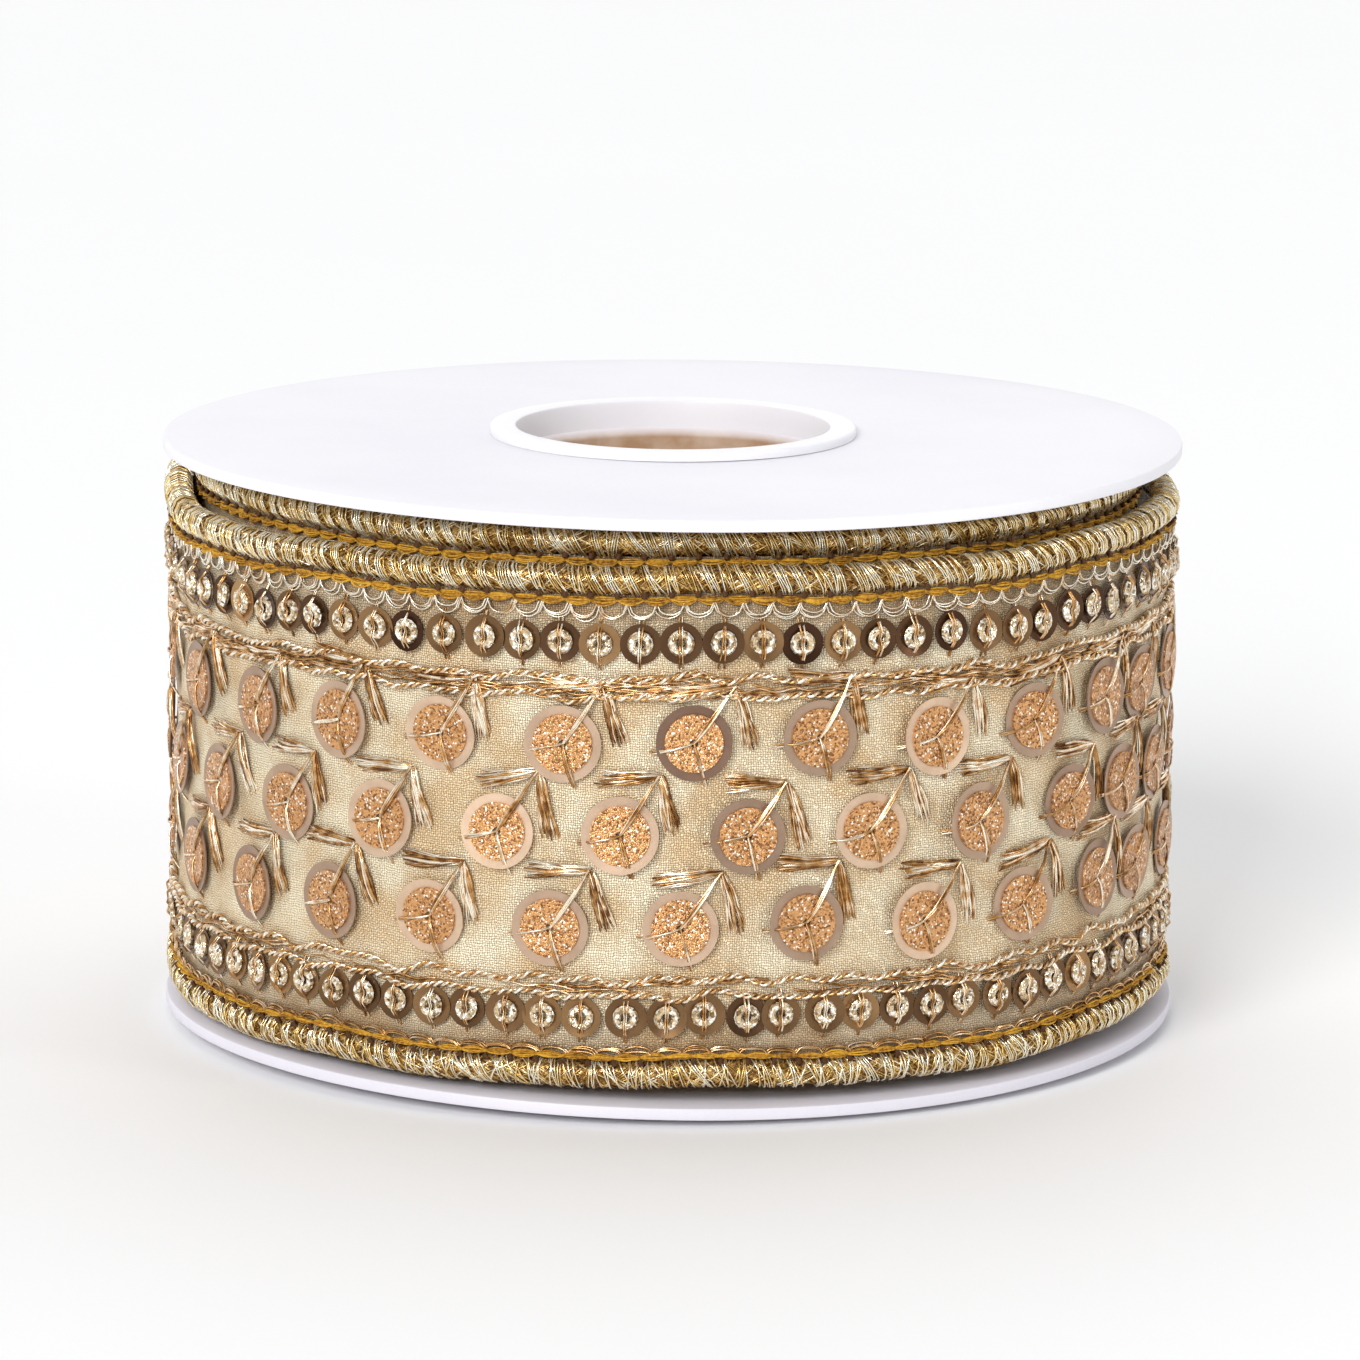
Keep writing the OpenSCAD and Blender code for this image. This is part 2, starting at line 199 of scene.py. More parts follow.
class Effects:
    """Shader node groups that several materials share, each built once."""

    _made: dict[str, bpy.types.NodeTree] = {}

    @classmethod
    def get(cls, name: str) -> bpy.types.NodeTree:
        """Returns a group by name, building it the first time."""
        if name not in cls._made:
            cls._made[name] = getattr(cls, "_" + name)()
        return cls._made[name]

    @staticmethod
    def _strand_tone() -> bpy.types.NodeTree:
        """Colour of a metallic thread: its own tone, glints along it and darker lengths.

        Returns:
            The node group.
        """
        colours = [("Dark", COLOUR, None), ("Mid", COLOUR, None), ("Light", COLOUR, None)]
        g, i, o = new_group(
            "StrandTone",
            [("Vector", VECTOR, None), ("Tone", VALUE, 0.5), ("Glint Scale", VALUE, 2200.0),
             ("Glint", VALUE, 0.6)] + colours,
            [("Color", COLOUR), ("Roughness", VALUE), ("Height", VALUE)],
        )
        fine = g.noise(i.outputs["Vector"], i.outputs["Glint Scale"], 2.0).outputs[0]
        coarse = g.noise(i.outputs["Vector"], 420.0, 1.0).outputs[0]
        shift = g.math("MULTIPLY", g.spread(fine, 0.3, 0.7, -0.5, 0.5), i.outputs["Glint"])
        drift = g.spread(coarse, 0.3, 0.7, -0.14, 0.14)
        tone = g.math("ADD", g.math("ADD", i.outputs["Tone"], shift), drift, clamp=True)
        low = g.mix(g.spread(tone, 0.0, 0.5), i.outputs["Dark"], i.outputs["Mid"])
        colour = g.mix(g.spread(tone, 0.5, 1.0), low, i.outputs["Light"])
        g.tree.links.new(colour, o.inputs["Color"])
        g.tree.links.new(g.spread(fine, 0.3, 0.7, 0.36, 0.18), o.inputs["Roughness"])
        g.tree.links.new(fine, o.inputs["Height"])
        return g.tree

    @staticmethod
    def _weave() -> bpy.types.NodeTree:
        """Plain weave on a flat vector in millimetres: which thread lies on top, and its height.

        Returns:
            The node group.
        """
        g, i, o = new_group(
            "Weave",
            [("Vector", VECTOR, None), ("Pitch", VALUE, 0.23), ("Slub", VALUE, 0.5)],
            [("Height", VALUE), ("Warp", VALUE), ("Gap", VALUE)],
        )
        parts = g.add("ShaderNodeSeparateXYZ", {0: i.outputs["Vector"]})
        slub = g.noise(i.outputs["Vector"], 1.3, 2.0).outputs[0]
        wander = g.math("MULTIPLY", g.math("SUBTRACT", slub, 0.5), i.outputs["Slub"])
        across, along = (
            g.math("DIVIDE", g.math("ADD", parts.outputs[axis], wander), i.outputs["Pitch"])
            for axis in (0, 1)
        )
        waves = [g.math("SINE", g.math("MULTIPLY", x, math.pi)) for x in (across, along)]
        warp = g.spread(g.math("MULTIPLY", waves[0], waves[1]), -0.25, 0.25)
        rounds = [g.math("ABSOLUTE", w) for w in waves]
        gap = g.spread(g.math("MULTIPLY", rounds[0], rounds[1]), 0.0, 0.35, 1.0, 0.0)
        over = g.math("MULTIPLY", rounds[0], warp)
        under = g.math("MULTIPLY", rounds[1], g.math("SUBTRACT", 1.0, warp))
        height = g.math("MAXIMUM", over, under)
        g.tree.links.new(height, o.inputs["Height"])
        g.tree.links.new(warp, o.inputs["Warp"])
        g.tree.links.new(gap, o.inputs["Gap"])
        return g.tree

    @staticmethod
    def _cells() -> bpy.types.NodeTree:
        """Random facets: a colour and a height that change from cell to cell, with a few cells in the light
        colour as painted sparkle highlights.

        Returns:
            The node group.
        """
        colours = [("Dark", COLOUR, None), ("Mid", COLOUR, None), ("Light", COLOUR, None)]
        g, i, o = new_group(
            "Cells",
            [("Vector", VECTOR, None), ("Scale", VALUE, 2500.0), ("Sparkle", VALUE, 0.2)] + colours,
            [("Color", COLOUR), ("Height", VALUE)],
        )
        cells = g.add("ShaderNodeTexVoronoi", {"Vector": i.outputs["Vector"], "Scale": i.outputs["Scale"]})
        parts = g.add("ShaderNodeSeparateColor", {0: cells.outputs["Color"]})
        pick, second = parts.outputs[0], parts.outputs[1]
        base = g.mix(g.spread(pick, 0.05, 0.55), i.outputs["Dark"], i.outputs["Mid"])
        # Painted highlight: cells past the sparkle threshold take the light colour.
        bright = g.math("GREATER_THAN", second, g.math("SUBTRACT", 1.0, i.outputs["Sparkle"]))
        g.tree.links.new(g.mix(bright, base, i.outputs["Light"]), o.inputs["Color"])
        height = g.math("ADD", pick, g.math("MULTIPLY", cells.outputs["Distance"], -1.0))
        g.tree.links.new(height, o.inputs["Height"])
        return g.tree

    @staticmethod
    def _mottle() -> bpy.types.NodeTree:
        """Soft patches and fine grain between two colours.

        Returns:
            The node group.
        """
        g, i, o = new_group(
            "Mottle",
            [("Vector", VECTOR, None), ("Scale", VALUE, 60.0), ("Grain Scale", VALUE, 3000.0),
             ("First", COLOUR, None), ("Second", COLOUR, None)],
            [("Color", COLOUR), ("Height", VALUE), ("Mask", VALUE)],
        )
        patches = g.noise(i.outputs["Vector"], i.outputs["Scale"], 3.0).outputs[0]
        grain = g.noise(i.outputs["Vector"], i.outputs["Grain Scale"], 2.0).outputs[0]
        mask = g.spread(g.math("ADD", patches, g.math("MULTIPLY", grain, 0.25)), 0.5, 0.75)
        g.tree.links.new(g.mix(mask, i.outputs["First"], i.outputs["Second"]), o.inputs["Color"])
        g.tree.links.new(grain, o.inputs["Height"])
        g.tree.links.new(mask, o.inputs["Mask"])
        return g.tree


# ---------------------------------------------------------------------------- finishes


@dataclass(frozen=True)
class Finish:
    """A finish: its name and the plain values on the shader's own sockets."""

    name: str
    metallic: float = 0.0
    roughness: float = 0.5
    bump: float = 0.2
    bump_depth: float = 0.00005
    built: ClassVar[dict[str, bpy.types.Material]] = {}

    def material(self) -> bpy.types.Material:
        """Returns the material, building it the first time."""
        if self.name not in self.built:
            self.built[self.name] = self._build()
        return self.built[self.name]

    def _build(self) -> bpy.types.Material:
        """Builds the material around one Principled shader.

        Returns:
            The new material.
        """
        material = bpy.data.materials.new(self.name)
        material.use_nodes = True
        material.node_tree.nodes.clear()
        graph = Graph(material.node_tree)
        plain = {"Metallic": self.metallic, "Roughness": self.roughness}
        shader = graph.add("ShaderNodeBsdfPrincipled", plain)
        graph.add("ShaderNodeOutputMaterial", {"Surface": shader.outputs[0]})
        self.dress(graph, shader)
        return material

    def dress(self, graph: Graph, shader: bpy.types.Node) -> None:
        """Adds the finish's own nodes.

        Args:
            graph: the material's graph.
            shader: its Principled shader.
        """

    def effect(self, graph: Graph, name: str, inputs: dict[str, Any]) -> bpy.types.Node:
        """Places one of the shared node groups."""
        return graph.add("ShaderNodeGroup", inputs, node_tree=Effects.get(name))

    def relief(self, graph: Graph, shader: bpy.types.Node, height: Any) -> None:
        """Joins a height to the shader's normal through a bump node.

        Args:
            graph: the material's graph.
            shader: its Principled shader.
            height: the height's socket.
        """
        sizes = {"Height": height, "Strength": self.bump, "Distance": self.bump_depth}
        bump = graph.add("ShaderNodeBump", sizes)
        graph.tree.links.new(bump.outputs[0], shader.inputs["Normal"])

    @staticmethod
    def place(graph: Graph) -> bpy.types.NodeSocket:
        """Returns the Object coordinates."""
        return graph.add("ShaderNodeTexCoord").outputs["Object"]

    @staticmethod
    def attribute(graph: Graph, name: str) -> bpy.types.Node:
        """Returns a named attribute's node."""
        return graph.add("ShaderNodeAttribute", attribute_name=name)


@dataclass(frozen=True)
class ThreadFinish(Finish):
    """Metallic or cotton thread, coloured by each strand's tone."""

    dark: Colour = (0.2, 0.1, 0.04)
    mid: Colour = (0.6, 0.43, 0.24)
    light: Colour = (0.95, 0.9, 0.8)
    glint: float = 0.6
    glint_scale: float = 2200.0

    def dress(self, graph: Graph, shader: bpy.types.Node) -> None:
        """Colours the strands and roughens them along their length.

        Args:
            graph: the material's graph.
            shader: its Principled shader.
        """
        group = self.effect(graph, "strand_tone", {
            "Vector": self.place(graph), "Tone": self.attribute(graph, "tone").outputs["Fac"],
            "Glint": self.glint, "Glint Scale": self.glint_scale,
            "Dark": four(self.dark), "Mid": four(self.mid), "Light": four(self.light)})
        graph.tree.links.new(group.outputs["Color"], shader.inputs["Base Color"])
        if self.metallic > 0:
            graph.tree.links.new(group.outputs["Roughness"], shader.inputs["Roughness"])
        self.relief(graph, shader, group.outputs["Height"])


@dataclass(frozen=True)
class TissueFinish(Finish):
    """Fine metallic tissue cloth with a plain weave, painted highlight and shade patches, and painted shade
    near its edges.
    """

    shade: Colour = (0.24, 0.13, 0.05)
    base: Colour = (0.75, 0.52, 0.27)
    # The light thread colour: the warp threads on top, and the painted highlight in the patches.
    thread: Colour = (1.0, 0.9, 0.66)
    # Across the ribbon, in millimetres, where the painted edge shade sets in.
    margin: float = 19.0
    painted_patch_scale: float = 170.0
    warp_tint: float = 0.45
    gap_shade: float = 0.85
    gather_shade: float = 0.6
    crease: float = 3.0

    def dress(self, graph: Graph, shader: bpy.types.Node) -> None:
        """Weaves the cloth over its own map, with painted highlight and shade patches and painted shade near
        its edges.

        Args:
            graph: the material's graph.
            shader: its Principled shader.
        """
        flat = graph.add("ShaderNodeUVMap", uv_map="ribbon").outputs[0]
        weave = self.effect(graph, "weave", {"Vector": flat})
        # Painted highlight and shade: large soft patches between the base and the light thread colour stand
        # for the crumpled cloth's highlights and shadows.
        patches = self.effect(graph, "mottle", {
            "Vector": self.place(graph), "Scale": self.painted_patch_scale,
            "First": four(self.base), "Second": four(self.thread)})
        warp = graph.math("MULTIPLY", weave.outputs["Warp"], self.warp_tint)
        woven = graph.mix(warp, patches.outputs["Color"], four(self.thread))
        gap = graph.math("MULTIPLY", weave.outputs["Gap"], self.gap_shade)
        colour = graph.mix(gap, woven, four(self.shade))
        across = graph.math("ABSOLUTE", graph.add("ShaderNodeSeparateXYZ", {0: flat}).outputs[1])
        # Painted shade: past the margin the cloth's colour runs towards the shade colour near both edges,
        # where the cloth gathers and lies in shade.
        painted_edge_shade = graph.spread(across, self.margin - 2.5, self.margin + 1.5, 0.0, self.gather_shade)
        graph.tree.links.new(graph.mix(painted_edge_shade, colour, four(self.shade)), shader.inputs["Base Color"])
        squeeze = graph.add("ShaderNodeVectorMath", {0: flat, 1: (1.5, 0.3, 1.0)}, operation="MULTIPLY")
        creases = graph.noise(squeeze.outputs[0], 1.0, 3.0).outputs[0]
        folds = graph.math("MULTIPLY", creases, self.crease)
        self.relief(graph, shader, graph.math("ADD", weave.outputs["Height"], folds))


@dataclass(frozen=True)
class MottledFinish(Finish):
    """A plain surface with faint patches and grain, such as board, plastic or foam."""

    first: Colour = (0.9, 0.9, 0.9)
    second: Colour = (0.85, 0.85, 0.85)
    scale: float = 60.0
    grain: float = 3000.0
    transmission: float = 0.0
    ior: float = 1.45

    def dress(self, graph: Graph, shader: bpy.types.Node) -> None:
        """Patches the colour and grains the surface.

        Args:
            graph: the material's graph.
            shader: its Principled shader.
        """
        shader.inputs["Transmission Weight"].default_value = self.transmission
        shader.inputs["IOR"].default_value = self.ior
        group = self.effect(graph, "mottle", {
            "Vector": self.place(graph), "Scale": self.scale, "Grain Scale": self.grain,
            "First": four(self.first), "Second": four(self.second)})
        graph.tree.links.new(group.outputs["Color"], shader.inputs["Base Color"])
        self.relief(graph, shader, group.outputs["Height"])


@dataclass(frozen=True)
class FrostedFinish(MottledFinish):
    """Frosted plastic whose core lets the wound ribbon show through."""

    show_low: float = 0.0032
    show_high: float = 0.0548
    behind: Colour = (0.46, 0.29, 0.17)
    behind_light: Colour = (0.6, 0.45, 0.34)
    glow: float = 0.5

    def dress(self, graph: Graph, shader: bpy.types.Node) -> None:
        """Tints the core between the two mouths with what lies behind it.

        Args:
            graph: the material's graph.
            shader: its Principled shader.
        """
        super().dress(graph, shader)
        shader.inputs["Subsurface Weight"].default_value = self.glow
        shader.inputs["Specular IOR Level"].default_value = 0.15
        shader.inputs["Subsurface Radius"].default_value = (0.004, 0.004, 0.004)
        own = shader.inputs["Base Color"].links[0].from_socket
        place = self.place(graph)
        height = graph.add("ShaderNodeSeparateXYZ", {0: place}).outputs[2]
        above = graph.spread(height, self.show_low, self.show_low + 0.001)
        below = graph.spread(height, self.show_high, self.show_high + 0.001, 1.0, 0.0)
        patches = self.effect(graph, "mottle", {
            "Vector": place, "Scale": 230.0, "Grain Scale": 900.0,
            "First": four(self.behind), "Second": four(self.behind_light)})
        tinted = graph.mix(graph.math("MULTIPLY", above, below), own, patches.outputs["Color"])
        graph.tree.links.new(tinted, shader.inputs["Base Color"])


@dataclass(frozen=True)
class FilmFinish(Finish):
    """Metallised film, from a light to a dark tone for each sequin; the tone is a painted reflection, lighter
    or darker by how the sequin faces the light.
    """

    dark: Colour = (0.2, 0.12, 0.08)
    light: Colour = (0.75, 0.55, 0.38)
    rim: Colour = (0.8, 0.68, 0.5)

    def dress(self, graph: Graph, shader: bpy.types.Node) -> None:
        """Tones each sequin with its painted reflection and brushes it faintly.

        Args:
            graph: the material's graph.
            shader: its Principled shader.
        """
        tone = self.attribute(graph, "tone").outputs["Fac"]
        group = self.effect(graph, "mottle", {
            "Vector": self.place(graph), "Scale": 350.0,
            "First": four((1, 1, 1)), "Second": four((0.86, 0.84, 0.82))})
        toned = graph.mix(tone, four(self.dark), four(self.light))
        colour = graph.add(
            "ShaderNodeMix", {0: 1.0, 6: toned, 7: group.outputs["Color"]},
            data_type="RGBA", blend_type="MULTIPLY")
        graph.tree.links.new(colour.outputs[2], shader.inputs["Base Color"])
        self.relief(graph, shader, group.outputs["Height"])


@dataclass(frozen=True)
class FacetFinish(Finish):
    """Glitter or cut crystal: small facets of three tones, the lightest a painted sparkle highlight."""

    dark: Colour = (0.3, 0.12, 0.05)
    mid: Colour = (0.75, 0.4, 0.2)
    light: Colour = (1.0, 0.9, 0.75)
    cell: float = 0.35
    sparkle: float = 0.2

    def dress(self, graph: Graph, shader: bpy.types.Node) -> None:
        """Facets the surface.

        Args:
            graph: the material's graph.
            shader: its Principled shader.
        """
        group = self.effect(graph, "cells", {
            "Vector": self.place(graph), "Scale": 1000.0 / self.cell, "Sparkle": self.sparkle,
            "Dark": four(self.dark), "Mid": four(self.mid), "Light": four(self.light)})
        graph.tree.links.new(group.outputs["Color"], shader.inputs["Base Color"])
        self.relief(graph, shader, group.outputs["Height"])


BOARD = MottledFinish(
    "white_board", roughness=0.6, bump=0.1, first=(0.85, 0.845, 0.88), second=(0.81, 0.8, 0.845), scale=30.0)
SHADED_BOARD = MottledFinish(
    "shaded_board", roughness=0.6, bump=0.1, first=(0.74, 0.72, 0.79), second=(0.7, 0.68, 0.75), scale=30.0)
FROSTED = FrostedFinish(
    "frosted_polypropylene", roughness=0.3, bump=0.06, first=(0.92, 0.91, 0.955), second=(0.9, 0.885, 0.94),
    transmission=0.08, ior=1.4)
FOAM = MottledFinish("foam_pad", roughness=0.9, bump=0.5, first=(0.85, 0.85, 0.8), second=(0.75, 0.75, 0.7))
# Cord core: brown and gold fibres, darkened close to black as painted shade in the gaps between the wraps.
CORD_CORE = ThreadFinish(
    "cord_core_fibres", metallic=0.4, bump=0.8, bump_depth=0.0002, glint=1.2, glint_scale=3200.0,
    dark=(0.05, 0.02, 0.005), mid=(0.42, 0.23, 0.055), light=(0.92, 0.68, 0.28))
CORD_WRAP = ThreadFinish(
    "cord_wrap_zari", metallic=0.75, bump=0.3, glint=0.6, glint_scale=1500.0,
    dark=(0.27, 0.12, 0.02), mid=(0.88, 0.61, 0.21), light=(1.0, 0.95, 0.78))
ZARI = ThreadFinish(
    "zari_twist", metallic=0.75, bump=0.3, glint=0.6, glint_scale=1100.0,
    dark=(0.2, 0.08, 0.016), mid=(0.68, 0.4, 0.16), light=(1.0, 0.93, 0.78))
PALE = ThreadFinish(
    "pale_zari", metallic=0.7, bump=0.3, glint=0.65, glint_scale=1000.0,
    dark=(0.17, 0.06, 0.012), mid=(0.64, 0.34, 0.11), light=(1.0, 0.9, 0.72))
OCHRE = ThreadFinish(
    "ochre_cotton", roughness=0.85, bump=0.6, glint=0.7, glint_scale=3500.0,
    dark=(0.08, 0.028, 0.004), mid=(0.42, 0.19, 0.01), light=(0.68, 0.38, 0.03))
TISSUE = TissueFinish("gold_tissue", metallic=0.3, roughness=0.42, bump=0.8, bump_depth=0.00009)
# Sequin films: dark and light are the two ends of each sequin's painted reflection.
BRONZE = FilmFinish(
    "bronze_film", metallic=0.8, roughness=0.3, bump=0.03,
    dark=(0.065, 0.027, 0.012), light=(0.48, 0.28, 0.12))
ROSE = FilmFinish(
    "rose_gold_film", metallic=0.6, roughness=0.38, bump=0.03,
    dark=(0.15, 0.075, 0.048), light=(0.78, 0.57, 0.4))
GLITTER = FacetFinish(
    "copper_glitter_flakes", metallic=0.5, roughness=0.3, bump=0.8, bump_depth=0.00008, cell=0.17,
    sparkle=0.07,
    dark=(0.2, 0.075, 0.02), mid=(0.7, 0.36, 0.14), light=(1.0, 0.92, 0.8))
CRYSTAL = FacetFinish(
    "silver_lined_crystal", metallic=0.45, roughness=0.14, bump=0.6, bump_depth=0.00012, cell=0.26,
    sparkle=0.3,
    dark=(0.2, 0.12, 0.05), mid=(0.72, 0.56, 0.34), light=(1.0, 0.98, 0.9))


# ---------------------------------------------------------------------------- mesh making


def new_object(name: str, mesh: bpy.types.Mesh) -> bpy.types.Object:
    """Makes an object for a mesh and links it to the scene.

    Args:
        name: the object's name.
        mesh: its mesh.

    Returns:
        The new object.
    """
    made = bpy.data.objects.new(name, mesh)
    bpy.context.scene.collection.objects.link(made)
    return made


def mesh_from(name: str, points: np.ndarray, edges: Any = (), faces: Any = ()) -> bpy.types.Mesh:
    """Makes a mesh from points in millimetres.

    Args:
        name: the mesh's name.
        points: (points, 3) in millimetres.
        edges: pairs of point numbers.
        faces: lists of point numbers.

    Returns:
        The new mesh, in metres.
    """
    mesh = bpy.data.meshes.new(name)
    mesh.from_pydata((np.asarray(points) * MM).tolist(), list(edges), list(faces))
    mesh.update()
    return mesh


def store(mesh: bpy.types.Mesh, name: str, values: np.ndarray, kind: str = "FLOAT") -> None:
    """Stores a point attribute on a mesh.

    Args:
        mesh: the mesh.
        name: the attribute's name.
        values: one value or one vector for each point.
        kind: FLOAT or FLOAT_VECTOR.
    """
    layer = mesh.attributes.new(name, kind, "POINT")
    field = "vector" if kind == "FLOAT_VECTOR" else "value"
    layer.data.foreach_set(field, np.asarray(values, np.float32).ravel())


def settle(source: bpy.types.Object, name: str) -> bpy.types.Object:
    """Turns an object with modifiers into a plain mesh object.

    Args:
        source: the object, which is removed.
        name: the new object's name.

    Returns:
        The plain mesh object.
    """
    graph = bpy.context.evaluated_depsgraph_get()
    mesh = bpy.data.meshes.new_from_object(
        source.evaluated_get(graph), preserve_all_data_layers=True, depsgraph=graph)
    source.modifiers.clear()
    bpy.data.objects.remove(source)
    mesh.name = name
    return new_object(name, mesh)


class GeometryTree:
    """A Geometry Nodes tree with named inputs, which turns a source mesh into finished geometry."""

    _made: dict[str, bpy.types.NodeTree] = {}
    SOCKETS = {
        "Material": "NodeSocketMaterial", "Sides": "NodeSocketInt",
        "Segments": "NodeSocketInt", "Seed": "NodeSocketInt"}

    def __init__(self, name: str, inputs: Sequence[str]) -> None:
        """Starts or finds a tree.

        Args:
            name: the tree's name.
            inputs: the names of its inputs after Geometry.
        """
        self.name = name
        self.fresh = name not in self._made
        if self.fresh:
            tree = bpy.data.node_groups.new(name, "GeometryNodeTree")
            tree.is_modifier = True
            tree.interface.new_socket("Geometry", in_out="INPUT", socket_type="NodeSocketGeometry")
            for label in inputs:
                tree.interface.new_socket(label, in_out="INPUT", socket_type=self.SOCKETS.get(label, VALUE))
            tree.interface.new_socket("Geometry", in_out="OUTPUT", socket_type="NodeSocketGeometry")
            self._made[name] = tree
        self.tree = self._made[name]
        self.graph = Graph(self.tree)

    def end(self, geometry: bpy.types.NodeSocket, material: bpy.types.NodeSocket) -> None:
        """Ends the tree in Realize Instances and Set Material.

        Args:
            geometry: the finished geometry.
            material: the input that holds its material.
        """
        real = self.graph.add("GeometryNodeRealizeInstances", {0: geometry})
        done = self.graph.add("GeometryNodeSetMaterial", {"Geometry": real.outputs[0], "Material": material})
        self.graph.add("NodeGroupOutput", {0: done.outputs[0]})

    def run(self, name: str, source: bpy.types.Mesh, **values: Any) -> bpy.types.Object:
        """Runs the tree over a mesh.

        Args:
            name: the finished object's name.
            source: the mesh to run over.
            **values: the inputs by name, with spaces as underscores.

        Returns:
            The finished plain mesh object.
        """
        holder = new_object(name + "_source", source)
        modifier = holder.modifiers.new(self.name, "NODES")
        modifier.node_group = self.tree
        for item in self.tree.interface.items_tree:
            label = item.name.replace(" ", "_")
            if item.in_out == "INPUT" and label in values:
                modifier[item.identifier] = values[label]
        return settle(holder, name)


def sweep_tree() -> GeometryTree:
    """Sweeps a round profile along every polyline, at each point's own gauge.

    Returns:
        The tree, with the section's sides, the fuzz, its scale and its seed as inputs.
    """
    tree = GeometryTree("ThreadSweep", ["Material", "Sides", "Fuzz", "Fuzz Scale", "Seed"])
    if tree.fresh:
        g = tree.graph
        source = g.add("NodeGroupInput")
        curve = g.add("GeometryNodeMeshToCurve", {"Mesh": source.outputs["Geometry"]})
        noise = g.add(
            "ShaderNodeTexNoise", {"W": source.outputs["Seed"], "Scale": source.outputs["Fuzz Scale"]},
            noise_dimensions="4D")
        centred = g.add(
            "ShaderNodeVectorMath", {0: noise.outputs["Color"], 1: (0.5, 0.5, 0.5)}, operation="SUBTRACT")
        offset = g.add(
            "ShaderNodeVectorMath", {0: centred.outputs[0], "Scale": source.outputs["Fuzz"]},
            operation="SCALE")
        moved = g.add("GeometryNodeSetPosition", {"Geometry": curve.outputs[0], "Offset": offset.outputs[0]})
        profile = g.add(
            "GeometryNodeCurvePrimitiveCircle", {"Resolution": source.outputs["Sides"], "Radius": 1.0})
        gauge = g.add("GeometryNodeInputNamedAttribute", {"Name": "gauge"}, data_type="FLOAT")
        tube = g.add("GeometryNodeCurveToMesh", {
            "Curve": moved.outputs[0], "Profile Curve": profile.outputs[0],
            "Scale": gauge.outputs[0], "Fill Caps": True})
        smooth = g.add("GeometryNodeSetShadeSmooth", {"Geometry": tube.outputs[0]})
        tree.end(smooth.outputs[0], source.outputs["Material"])
    return tree


def scatter_tree(faceted: bool) -> GeometryTree:
    """Puts a ring on every point: a flat ring is a sequin, a round one a bead.

    Args:
        faceted: whether the rings are round in section, as cut beads are.

    Returns:
        The tree, with the ring's radius, wall, thickness, dish, segments and seed as inputs.
    """
    name = "FacetRings" if faceted else "FlatRings"
    tree = GeometryTree(name, ["Material", "Segments", "Radius", "Wall", "Thickness", "Dish", "Seed"])
    if tree.fresh:
        g = tree.graph
        source = g.add("NodeGroupInput")
        path = g.add("GeometryNodeCurvePrimitiveCircle", {
            "Resolution": source.outputs["Segments"], "Radius": source.outputs["Radius"]})
        if faceted:
            profile = g.add("GeometryNodeCurvePrimitiveCircle", {"Resolution": BEAD_SIDES, "Radius": 1.0})
        else:
            profile = g.add("GeometryNodeCurvePrimitiveQuadrilateral", {"Width": 2.0, "Height": 2.0})
        stretch = g.add("ShaderNodeCombineXYZ", {
            0: source.outputs["Wall"], 1: source.outputs["Thickness"], 2: 1.0})
        shaped = g.add("GeometryNodeTransform", {
            "Geometry": profile.outputs[0], "Scale": stretch.outputs[0]})
        ring = g.add("GeometryNodeCurveToMesh", {
            "Curve": path.outputs[0], "Profile Curve": shaped.outputs[0]})
        spot = g.add("ShaderNodeSeparateXYZ", {0: g.add("GeometryNodeInputPosition").outputs[0]})
        squares = [g.math("MULTIPLY", spot.outputs[a], spot.outputs[a]) for a in (0, 1)]
        whole = g.math("MULTIPLY", source.outputs["Radius"], source.outputs["Radius"])
        reach = g.math("DIVIDE", g.math("ADD", *squares), whole)
        lift = g.add("ShaderNodeCombineXYZ", {2: g.math("MULTIPLY", reach, source.outputs["Dish"])})
        dished = g.add("GeometryNodeSetPosition", {"Geometry": ring.outputs[0], "Offset": lift.outputs[0]})
        shade = g.add("GeometryNodeSetShadeSmooth", {"Geometry": dished.outputs[0], "Shade Smooth": False})
        turn = g.add("GeometryNodeInputNamedAttribute", {"Name": "turn"}, data_type="FLOAT_VECTOR")
        euler = g.add("FunctionNodeEulerToRotation", {0: turn.outputs[0]})
        noise = g.add("FunctionNodeRandomValue", {"Seed": source.outputs["Seed"]}, data_type="FLOAT")
        size = g.math("ADD", 0.97, g.math("MULTIPLY", noise.outputs[1], 0.06))
        scattered = g.add("GeometryNodeInstanceOnPoints", {
            "Points": source.outputs["Geometry"], "Instance": shade.outputs[0],
            "Rotation": euler.outputs[0], "Scale": size})
        tree.end(scattered.outputs[0], source.outputs["Material"])
    return tree


@dataclass(frozen=True)
class Ring:
    """A flat ring, such as a sequin, or a faceted one, such as a bead, in millimetres."""

    outer_r: float
    hole_r: float
    half_thickness: float
    dish: float
    segments: int
    seed: int
    faceted: bool = False

    def scatter(self, name: str, points: bpy.types.Mesh, finish: Finish) -> bpy.types.Object:
        """Puts the ring on every point.

        Args:
            name: the finished object's name.
            points: a point mesh with the attributes turn and tone.
            finish: the rings' finish.

        Returns:
            The finished plain mesh object.
        """
        middle, wall = (self.outer_r + self.hole_r) / 2, (self.outer_r - self.hole_r) / 2
        sizes = {"Radius": middle, "Wall": wall, "Thickness": self.half_thickness, "Dish": self.dish}
        return scatter_tree(self.faceted).run(
            name, points, Material=finish.material(), Segments=self.segments, Seed=self.seed,
            **{key: value * MM for key, value in sizes.items()})


